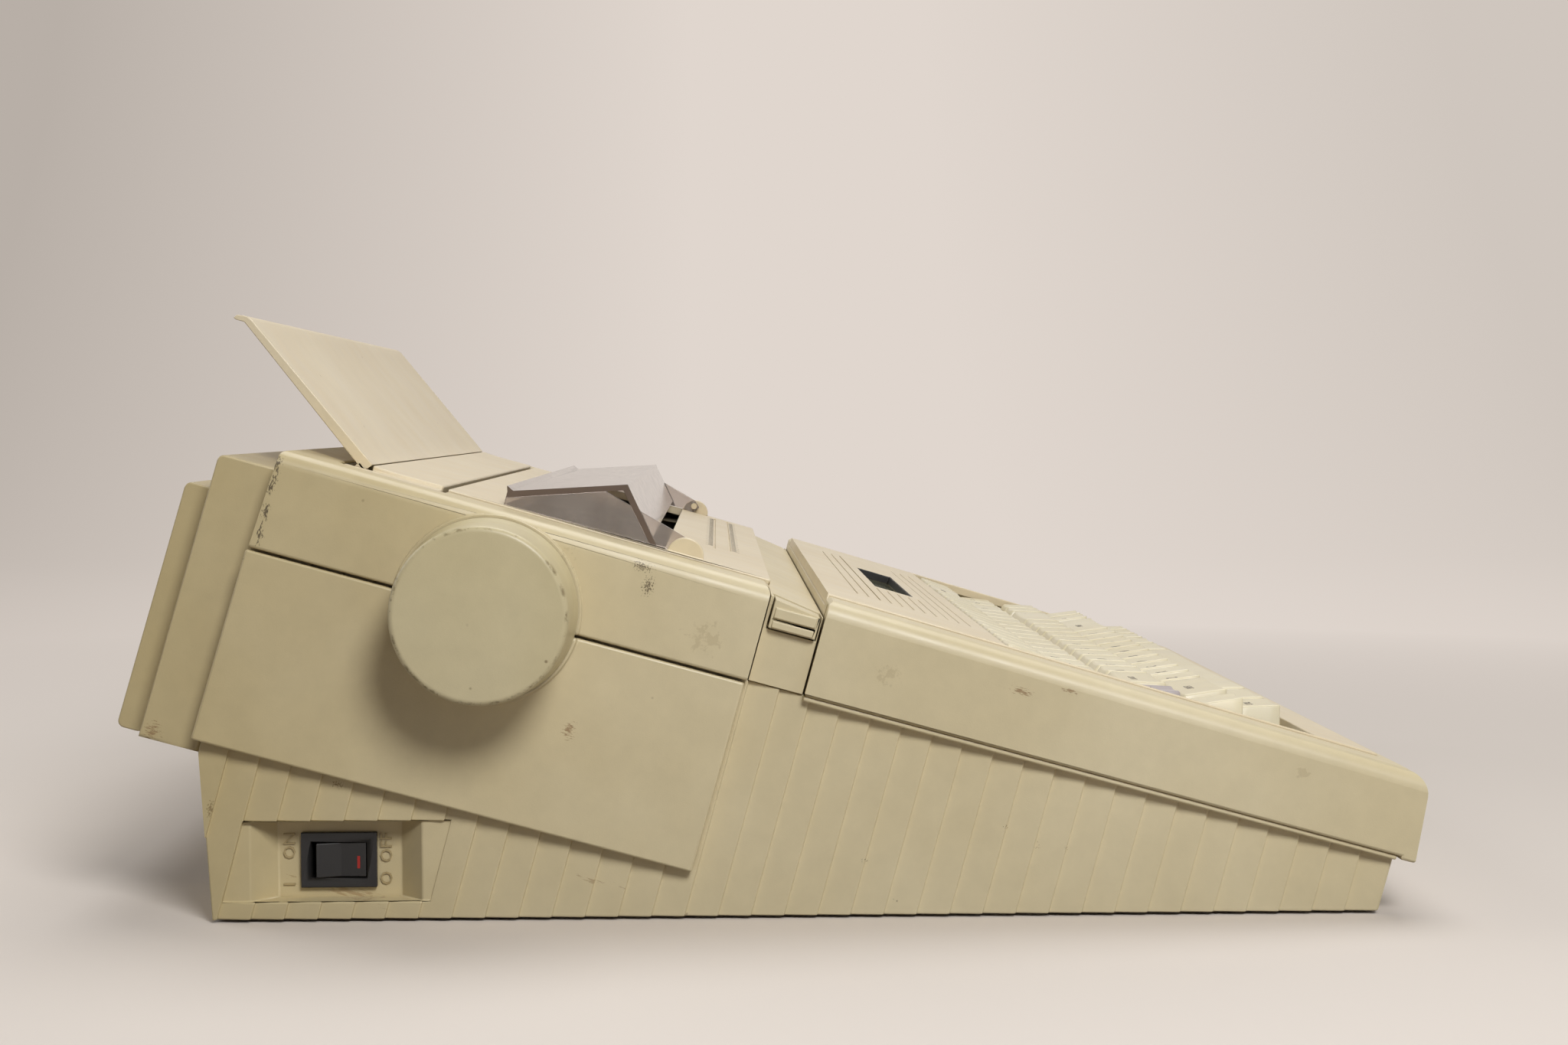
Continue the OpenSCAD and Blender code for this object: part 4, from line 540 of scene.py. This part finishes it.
def paper_support():
    def front(t):
        return SUPPORT_BACK + FOOT_T + (TIP_T - FOOT_T) * max(0.0, t) / SUPPORT_LEN

    tip, back = SUPPORT_LEN, SUPPORT_BACK
    face = [(t, front(t)) for t in (tip - 1.5, tip - 5, tip - 12, 34, 24, 14, 6, 2)]
    outline = [(-1.5, back), (tip - 0.5, back), (tip + 1.6, back - 1.5), (tip + 2.5, back - 1.7),
               (tip + 2.5, back - 0.4), (tip + 1.2, back + 1.0), (tip, back + 1.8), *face, (-1.5, front(0))]
    # close together near the ends, where the dish begins
    right_half = [60, 120, 155, 164, 169, 172.5, SUPPORT_HALF]
    across = [-x for x in reversed(right_half)] + [0] + right_half
    bm = bmesh.new()
    bar(bm, outline, across)
    for p in bm.verts:
        if 1 < p.co.y < tip - 2 and p.co.z > back + 1:
            side = min(1.0, max(0.0, (SUPPORT_HALF - 2 - abs(p.co.x)) / DISH_SIDE))
            end = min(1.0, max(0.0, (tip - 3 - p.co.y) / DISH_END))
            p.co.z -= DISH * math.sin(side * math.pi / 2) * math.sin(end * math.pi / 2)
    rod(bm, 0, 0, BARREL_R, -SUPPORT_HALF, SUPPORT_HALF)
    rod(bm, 0, 0, PIN_R, -PIN_HALF, PIN_HALF)
    slab(bm, (-SUPPORT_HALF, -1.5, 0), (SUPPORT_HALF, 1.5, back + 1))
    raised = Matrix.Translation((0, *SUPPORT_AT)) @ Matrix.Rotation(SUPPORT_RISE, 4, "X")
    bmesh.ops.transform(bm, matrix=raised, verts=bm.verts)
    finished("paper_support_sheet", bm, body_of("paper_support"), [panel_abs], ("paper_support",), 0.25)


paper_support()

# Clear cover: the sheet's sawn ends along the two plates show the tint
CLEAR_HALF = 174.0
PLATE_REAR, PLATE_FOLD, PLATE_FOOT = (283.9, 31.6), (250.8, 42.8), (240.8, 31.4)
PLATE_FRONT = ((250.0, 44.8), (238.6, 31.4))
# the wings reach down almost to the access cover, whose opening would show as a black line
WINGS_FROM_V, WING_DROP = 240, 0.8


def above(line, at):
    """How far a place lies above a line in v and w."""
    (v0, w0), (v1, w1) = line
    return at.z - w0 - (w1 - w0) * (at.y - v0) / (v1 - v0)


def at_end(face):
    """Whether a face is a sawn end of the sheet, to the far left or right."""
    return abs(face.normal.x) > 0.99 and abs(face.calc_center_median().x) > CLEAR_HALF - 0.1


def clear_cover():
    bm = merged("clear_cover")
    low = min(p.co.z for p in bm.verts if p.co.y > WINGS_FROM_V)
    for p in bm.verts:
        if p.co.z < low + 0.05:
            p.co.z -= WING_DROP
    under_top, under_front = (PLATE_REAR, PLATE_FOLD), (PLATE_FOLD, PLATE_FOOT)
    for start, end in (under_top, under_front, PLATE_FRONT):
        ends = [f for f in bm.faces if at_end(f)]
        around = {part for f in ends for part in (*f.verts, *f.edges)}
        bmesh.ops.bisect_plane(bm, geom=[*ends, *around], dist=0.001, plane_co=(0, *start),
                               plane_no=(0, start[1] - end[1], end[0] - start[0]))
    for f in bm.faces:
        if not at_end(f):
            continue
        at = f.calc_center_median()
        if at.y > PLATE_FOLD[0]:
            in_plate = above(under_top, at) > 0
        else:
            in_plate = above(under_front, at) > 0 > above(PLATE_FRONT, at)
        if in_plate:
            f.material_index = 1
    finished("clear_cover_sheet", bm, body_of("clear_cover"), [smoke, smoke_edge], ("clear_cover",), 0.25)


clear_cover()

# Keys

KEY_PITCH, KEY_GAP, KEY_INSET, KEY_REACH_W = 19.05, 0.9, 2.7, 14.0
SKIRT_W = 18.0
SKIRT_HALF = (KEY_PITCH - KEY_GAP) / 2
KEY_TOP_HALF = KEY_PITCH / 2 - KEY_INSET - 0.5
STEM, STEM_LOW = 5.6, 10.0
RIM_ROUNDING = 0.8
# printed legends: how high a letter and a word are, how far off the key's middle, and the ink's thickness
LETTER, WORD = 3.4, 2.1
LETTER_LEFT, LEGEND_UP = 2.2, 1.4
INK_T = 0.06
# the first key stands this far from the case's left side
KEYS_X0 = 24 - HALF_W
NUMBER_ROW_V = KEYBOARD_V1 - 66
KEY_DISH = 0.55
GAP = None
# each row's name, how high its keys' front and rear edges stand, and its keys as width in units and
# legend, with gaps between
KEY_ROWS = (
    ("number_row", 26.7, 27.6, [(1, "M"), (0.25, GAP), *((1, c) for c in "`1234567890-="), (2, "BACK"),
                                (0.25, GAP), (1, "INS"), (1, "DEL")]),
    ("upper_row", 25.7, 23.9, [(1, "M"), (0.25, GAP), (1.5, "TAB"), *((1, c) for c in "QWERTYUIOP[]"),
                               (1.5, "\\"), (0.25, GAP), (1, "UP"), (1, "PG")]),
    ("home_row", 28.5, 25.7, [(1, "CODE"), (0.25, GAP), (1.75, "LOCK"), *((1, c) for c in "ASDFGHJKL;'"),
                              (2.25, "RETURN"), (0.25, GAP), (1, "A"), (1, "B")]),
    ("lower_row", 31.6, 26.3, [(1, ""), (0.25, GAP), (2.25, "SHIFT"), *((1, c) for c in "ZXCVBNM,./"),
                               (2.75, "SHIFT"), (0.25, GAP), (1, "^"), (1, "")]),
    ("control_row", 30.7, 27.0, [(1.6, GAP), (1.25, "CTRL"), (1.5, "ALT"), (7.5, "SPACE"), (1.5, "ALT"),
                                 (1.25, "CODE"), (0.15, GAP), (1, "<"), (1, "v"), (1, ">")]),
)


class Keycap:
    """The sizes of one keycap and the height of its dished top."""

    def __init__(self, x0, x1, v, front, rear):
        self.mid, self.half, self.v = (x0 + x1) / 2, (x1 - x0) / 2, v
        self.front, self.rear = front, rear

    def top(self, u, t):
        """The place on the top at u across and t along, each from -1 to 1."""
        w = self.front + (self.rear - self.front) * (t + 1) / 2
        half = self.half - KEY_INSET * (w - SKIRT_W) / KEY_REACH_W
        return Vector((self.mid + u * half, self.v + t * KEY_TOP_HALF, w - KEY_DISH * (1 - u * u)))

    def skirt(self, u, t):
        return Vector((self.mid + u * self.half, self.v + t * SKIRT_HALF, SKIRT_W))


def add_cap(row, key, shade):
    """A dished top, sides that lean in, soft rims and a stem."""
    cap = bmesh.new()
    bmesh.ops.create_grid(cap, x_segments=8, y_segments=4, size=1)
    rim = [e for e in cap.edges if e.is_boundary]
    grown = bmesh.ops.extrude_edge_only(cap, edges=rim)["geom"]
    low = {p for p in grown if isinstance(p, bmesh.types.BMVert)}
    for p in cap.verts:
        p.co = key.skirt(p.co.x, p.co.y) if p in low else key.top(p.co.x, p.co.y)
    bmesh.ops.holes_fill(cap, edges=[e for e in cap.edges if e.is_boundary], sides=0)
    bmesh.ops.recalc_face_normals(cap, faces=cap.faces)
    rims = [e for e in cap.edges
            if e.calc_face_angle(0) > SHARP and max(p.co.z for p in e.verts) > SKIRT_W + 0.5]
    bmesh.ops.bevel(cap, geom=rims, offset=RIM_ROUNDING, offset_type="OFFSET", affect="EDGES", segments=3,
                    profile=0.5, material=-1, clamp_overlap=True)
    slab(cap, (key.mid - STEM / 2, key.v - STEM / 2, STEM_LOW),
         (key.mid + STEM / 2, key.v + STEM / 2, SKIRT_W + 1))
    for face in cap.faces:
        face.material_index = shade
    mesh = bpy.data.meshes.new("cap")
    cap.to_mesh(mesh)
    cap.free()
    row.from_mesh(mesh)
    bpy.data.meshes.remove(mesh)


def add_legend(print_bm, key, text):
    """Printed type that lies on the key's dish, in its upper left part, or in the middle if it is a word."""
    letter = len(text) == 1
    mesh = lettering(text, LETTER if letter else WORD, INK_T)
    left = LETTER_LEFT if letter and key.half < KEY_PITCH / 2 else 0
    for p in mesh.vertices:
        on_top = key.top((p.co.x - left) / (key.half * 0.8), (p.co.y + LEGEND_UP) / KEY_TOP_HALF)
        p.co = on_top + Vector((0, 0, INK_T / 2 + p.co.z))
    print_bm.from_mesh(mesh)
    bpy.data.meshes.remove(mesh)


def key_rows():
    singles = {"RETURN": "return_key", "SPACE": "space_bar"}
    for row, (name, front, rear, keys) in enumerate(KEY_ROWS):
        v = NUMBER_ROW_V - row * KEY_PITCH
        caps, print_bm = bmesh.new(), bmesh.new()
        x = KEYS_X0
        for width, text in keys:
            wide = width * KEY_PITCH
            x += wide
            if text is GAP:
                continue
            key = Keycap(x - wide + KEY_GAP / 2, x - KEY_GAP / 2, v, front, rear)
            if text in singles:
                single, node = bmesh.new(), singles[text]
                add_cap(single, key, 0)
                finished(node + "_cap", single, body_of(node), [key_abs], (node,))
                continue
            add_cap(caps, key, 1 if text == "CODE" and row == 2 else 0)
            if text:
                add_legend(print_bm, key, text)
        node = name + "_keys"
        finished(name + "_caps", caps, body_of(node), [key_abs, mauve_key], (node,))
        finished(name + "_legends", print_bm, body_of(node), [ink])


key_rows()

# Power switch: a red mark on the rocker and raised words on the floor of its recess
SWITCH_Y, SWITCH_Z = 313.345, 17.0
FLOOR_X = -187.5
WORD_HEIGHT, WORD_RAISED = 3.6, 1.0
# each word and its place from the switch's middle, along y and z
SWITCH_WORDS = (("ON", 14.4, 4.1), ("I", 14.4, -7.2), ("OFF", -13.8, 3.4), ("O", -13.8, -5.6))


def switch_details():
    bm = bmesh.new()
    slab(bm, (FLOOR_X - 1.45, SWITCH_Y - 6.1, SWITCH_Z - 2.5),
         (FLOOR_X + 0.5, SWITCH_Y - 5.3, SWITCH_Z + 1.1))
    finished("rocker_mark", bm, body_of("rocker"), [red_mark], into=level)
    words = bmesh.new()
    for text, y, z in SWITCH_WORDS:
        mesh = lettering(text, WORD_HEIGHT, WORD_RAISED)
        rows = ((0, 0, -1, FLOOR_X), (0, 1, 0, SWITCH_Y + y), (1, 0, 0, SWITCH_Z + z), (0, 0, 0, 1))
        mesh.transform(Matrix(rows))
        words.from_mesh(mesh)
        bpy.data.meshes.remove(mesh)
    finished("switch_words", words, body_of("lower_case"), [grimed_and_shaded_letter_abs], into=level)


switch_details()

# Printed scale on the access cover: two rows of lines that face each other, every fifth one longer
# how high the cover's panel stands at its lower edge, and how it rises
SCALE_TOP = 28.8
SCALE_RISE = math.tan(math.radians(0.51))
SCALE_X0, TICK, TICKS = -74, 2.54, 92
LOWER_ROW_V, UPPER_ROW_V = 212.9, 219.6
LINE_HALF, LINE_LONG, LINE_SHORT = 0.15, 2.6, 1.6


def paper_scale():
    bm = bmesh.new()

    def printed(x0, x1, v0, v1):
        w = SCALE_TOP + ((v0 + v1) / 2 - COVER_V0) * SCALE_RISE
        slab(bm, (x0, v0, w - 0.05), (x1, v1, w + 0.04))

    for i in range(TICKS):
        x = SCALE_X0 + i * TICK
        reach = LINE_SHORT if i % 5 else LINE_LONG
        printed(x - LINE_HALF, x + LINE_HALF, UPPER_ROW_V, UPPER_ROW_V + reach)
        printed(x - LINE_HALF, x + LINE_HALF, LOWER_ROW_V - reach, LOWER_ROW_V)
    finished("paper_scale", bm, body_of("access_cover"), [ink])


paper_scale()

# Floor, light and camera


def wide_blend(tree, coords, axis, low, high):
    """0 to 1 along one axis of the room, in metres."""
    split = add(tree, "ShaderNodeSeparateXYZ", {0: coords})
    return stretched(tree, split.outputs[axis], low, high)


def seen(tree):
    """1 for rays that show the backdrop: to the camera, in reflections and through clear sheet."""
    path = add(tree, "ShaderNodeLightPath")
    shown = joined(tree, path.outputs["Is Camera Ray"], path.outputs["Is Glossy Ray"], "MAXIMUM")
    return joined(tree, shown, path.outputs["Is Transmission Ray"], "MAXIMUM")


def backdrop_paper():
    """Matt paper roll: lit by the lamps near the machine, and further off a pale field with painted shade at its
    sides.
    """
    material, tree, shader = blank("pale_backdrop_paper")
    coords = add(tree, "ShaderNodeTexCoord").outputs["Object"]
    tone = mixed(tree, noise(tree, coords, 0.9, 2), srgb("#e3dad2"), srgb("#ded5cc"))
    # it throws less light back at the machine than it shows, as the photograph's deep shadows need
    tone = mixed(tree, seen(tree), srgb("#8d857e"), tone)
    tree.links.new(tone, shader.inputs["Base Color"])
    shader.inputs["Roughness"].default_value = 0.9
    # painted shade: the field darkens towards the left, and a little towards the right, as if less lit there
    field = mixed(tree, wide_blend(tree, coords, "Y", 0.05, 1.0), srgb("#e0d6ce"), srgb("#b8afa7"))
    field = mixed(tree, wide_blend(tree, coords, "Y", -0.3, -1.1), field, srgb("#cfc6be"))
    far = add(tree, "ShaderNodeVectorMath", {0: coords}, operation="LENGTH").outputs["Value"]
    field = mixed(tree, stretched(tree, far, 3.6, 4.2), field, srgb("#dcd3cb"))
    glow = add(tree, "ShaderNodeEmission", {"Color": field, "Strength": 1.0})
    share = joined(tree, stretched(tree, far, 0.35, 0.9), seen(tree))
    both = add(tree, "ShaderNodeMixShader", {0: share, 1: shader.outputs[0], 2: glow.outputs[0]})
    tree.links.new(both.outputs[0], tree.nodes["Material Output"].inputs["Surface"])
    return material


# the sweep in metres: half its size, where it starts to bend, the bend's radius and the wall above it
SWEEP_HALF, SWEEP_BEND_X, SWEEP_BEND_R, SWEEP_WALL = 4.0, 1.6, 1.5, 3.0


def studio():
    """A pale paper sweep: the floor, a wide curve and a wall beyond the machine."""
    bm = bmesh.new()
    rim = [bm.verts.new((x, -SWEEP_HALF, 0.0)) for x in (-SWEEP_HALF, SWEEP_BEND_X)]
    bm.edges.new(rim)
    arc = bmesh.ops.spin(bm, geom=[rim[-1]], cent=(SWEEP_BEND_X, -SWEEP_HALF, SWEEP_BEND_R), axis=(0, -1, 0),
                         angle=math.radians(90), steps=24)
    top = arc["geom_last"][0]
    up = bm.verts.new(top.co + Vector((0, 0, SWEEP_WALL)))
    bm.edges.new((top, up))
    grown = bmesh.ops.extrude_edge_only(bm, edges=bm.edges[:])["geom"]
    far_side = [p for p in grown if isinstance(p, bmesh.types.BMVert)]
    bmesh.ops.translate(bm, vec=(0, 2 * SWEEP_HALF, 0), verts=far_side)
    mesh = bpy.data.meshes.new("paper_sweep")
    bm.to_mesh(mesh)
    bm.free()
    mesh.shade_smooth()
    mesh.materials.append(backdrop_paper())
    floor = bpy.data.objects.new("paper_sweep", mesh)
    bpy.context.scene.collection.objects.link(floor)


studio()


def lamp(name, at, towards, size, power):
    """A round soft light: its place, what it points at and its width in metres, and its watts."""
    data = bpy.data.lights.new(name, "AREA")
    data.shape = "DISK"
    data.size = size
    data.energy = power
    made = bpy.data.objects.new(name, data)
    made.location = at
    made.rotation_euler = (Vector(towards) - Vector(at)).to_track_quat("-Z", "Y").to_euler()
    bpy.context.scene.collection.objects.link(made)


lamp("key_light", (-1.13, -0.31, 0.85), (-0.1, 0.0, 0.05), 0.45, 11.2)
lamp("front_light", (-0.7, -0.85, 0.35), (-0.1, -0.05, 0.05), 0.8, 0.9)
lamp("rear_light", (0.5, 1.3, 0.8), (0.0, 0.1, 0.05), 0.9, 6.0)
lamp("top_light", (0.5, -0.2, 1.6), (0.1, 0.0, 0.0), 1.2, 13.0)

world = bpy.data.worlds.new("soft_room")
world.use_nodes = True
room = world.node_tree
dim = add(room, "ShaderNodeBackground", {"Color": srgb("#efeae5"), "Strength": 0.05})
bright = add(room, "ShaderNodeBackground", {"Color": srgb("#dcd3cb"), "Strength": 1.0})
shown = add(room, "ShaderNodeMixShader", {0: seen(room), 1: dim.outputs[0], 2: bright.outputs[0]})
room.links.new(shown.outputs[0], room.nodes["World Output"].inputs["Surface"])
bpy.context.scene.world = world

# the photograph's width and the focal length found from its vanishing points, in its pixels
PHOTO_WIDTH, FOCAL = 2048, 3235
# the camera's own directions, and its place from where the slope starts, in millimetres
RIGHT = (-0.02748, -0.99962, -0.00289)
UP = (0.04029, -0.00400, 0.99918)
AHEAD = (0.99881, -0.02734, -0.04039)
STAND = Vector((-911, 202.847, 127.906))

camera_data = bpy.data.cameras.new("photo_camera")
camera_data.sensor_fit = "HORIZONTAL"
camera_data.sensor_width = 36
camera_data.lens = FOCAL / PHOTO_WIDTH * 36
camera_data.clip_start = 0.01
camera_data.clip_end = 50
camera = bpy.data.objects.new("photo_camera", camera_data)
stand = (slope_start + STAND) * MM
turned = [(RIGHT[i], UP[i], -AHEAD[i], stand[i]) for i in range(3)]
camera.matrix_world = Matrix([*turned, (0, 0, 0, 1)])
bpy.context.scene.collection.objects.link(camera)
bpy.context.scene.camera = camera
bpy.context.scene.view_settings.view_transform = "Standard"
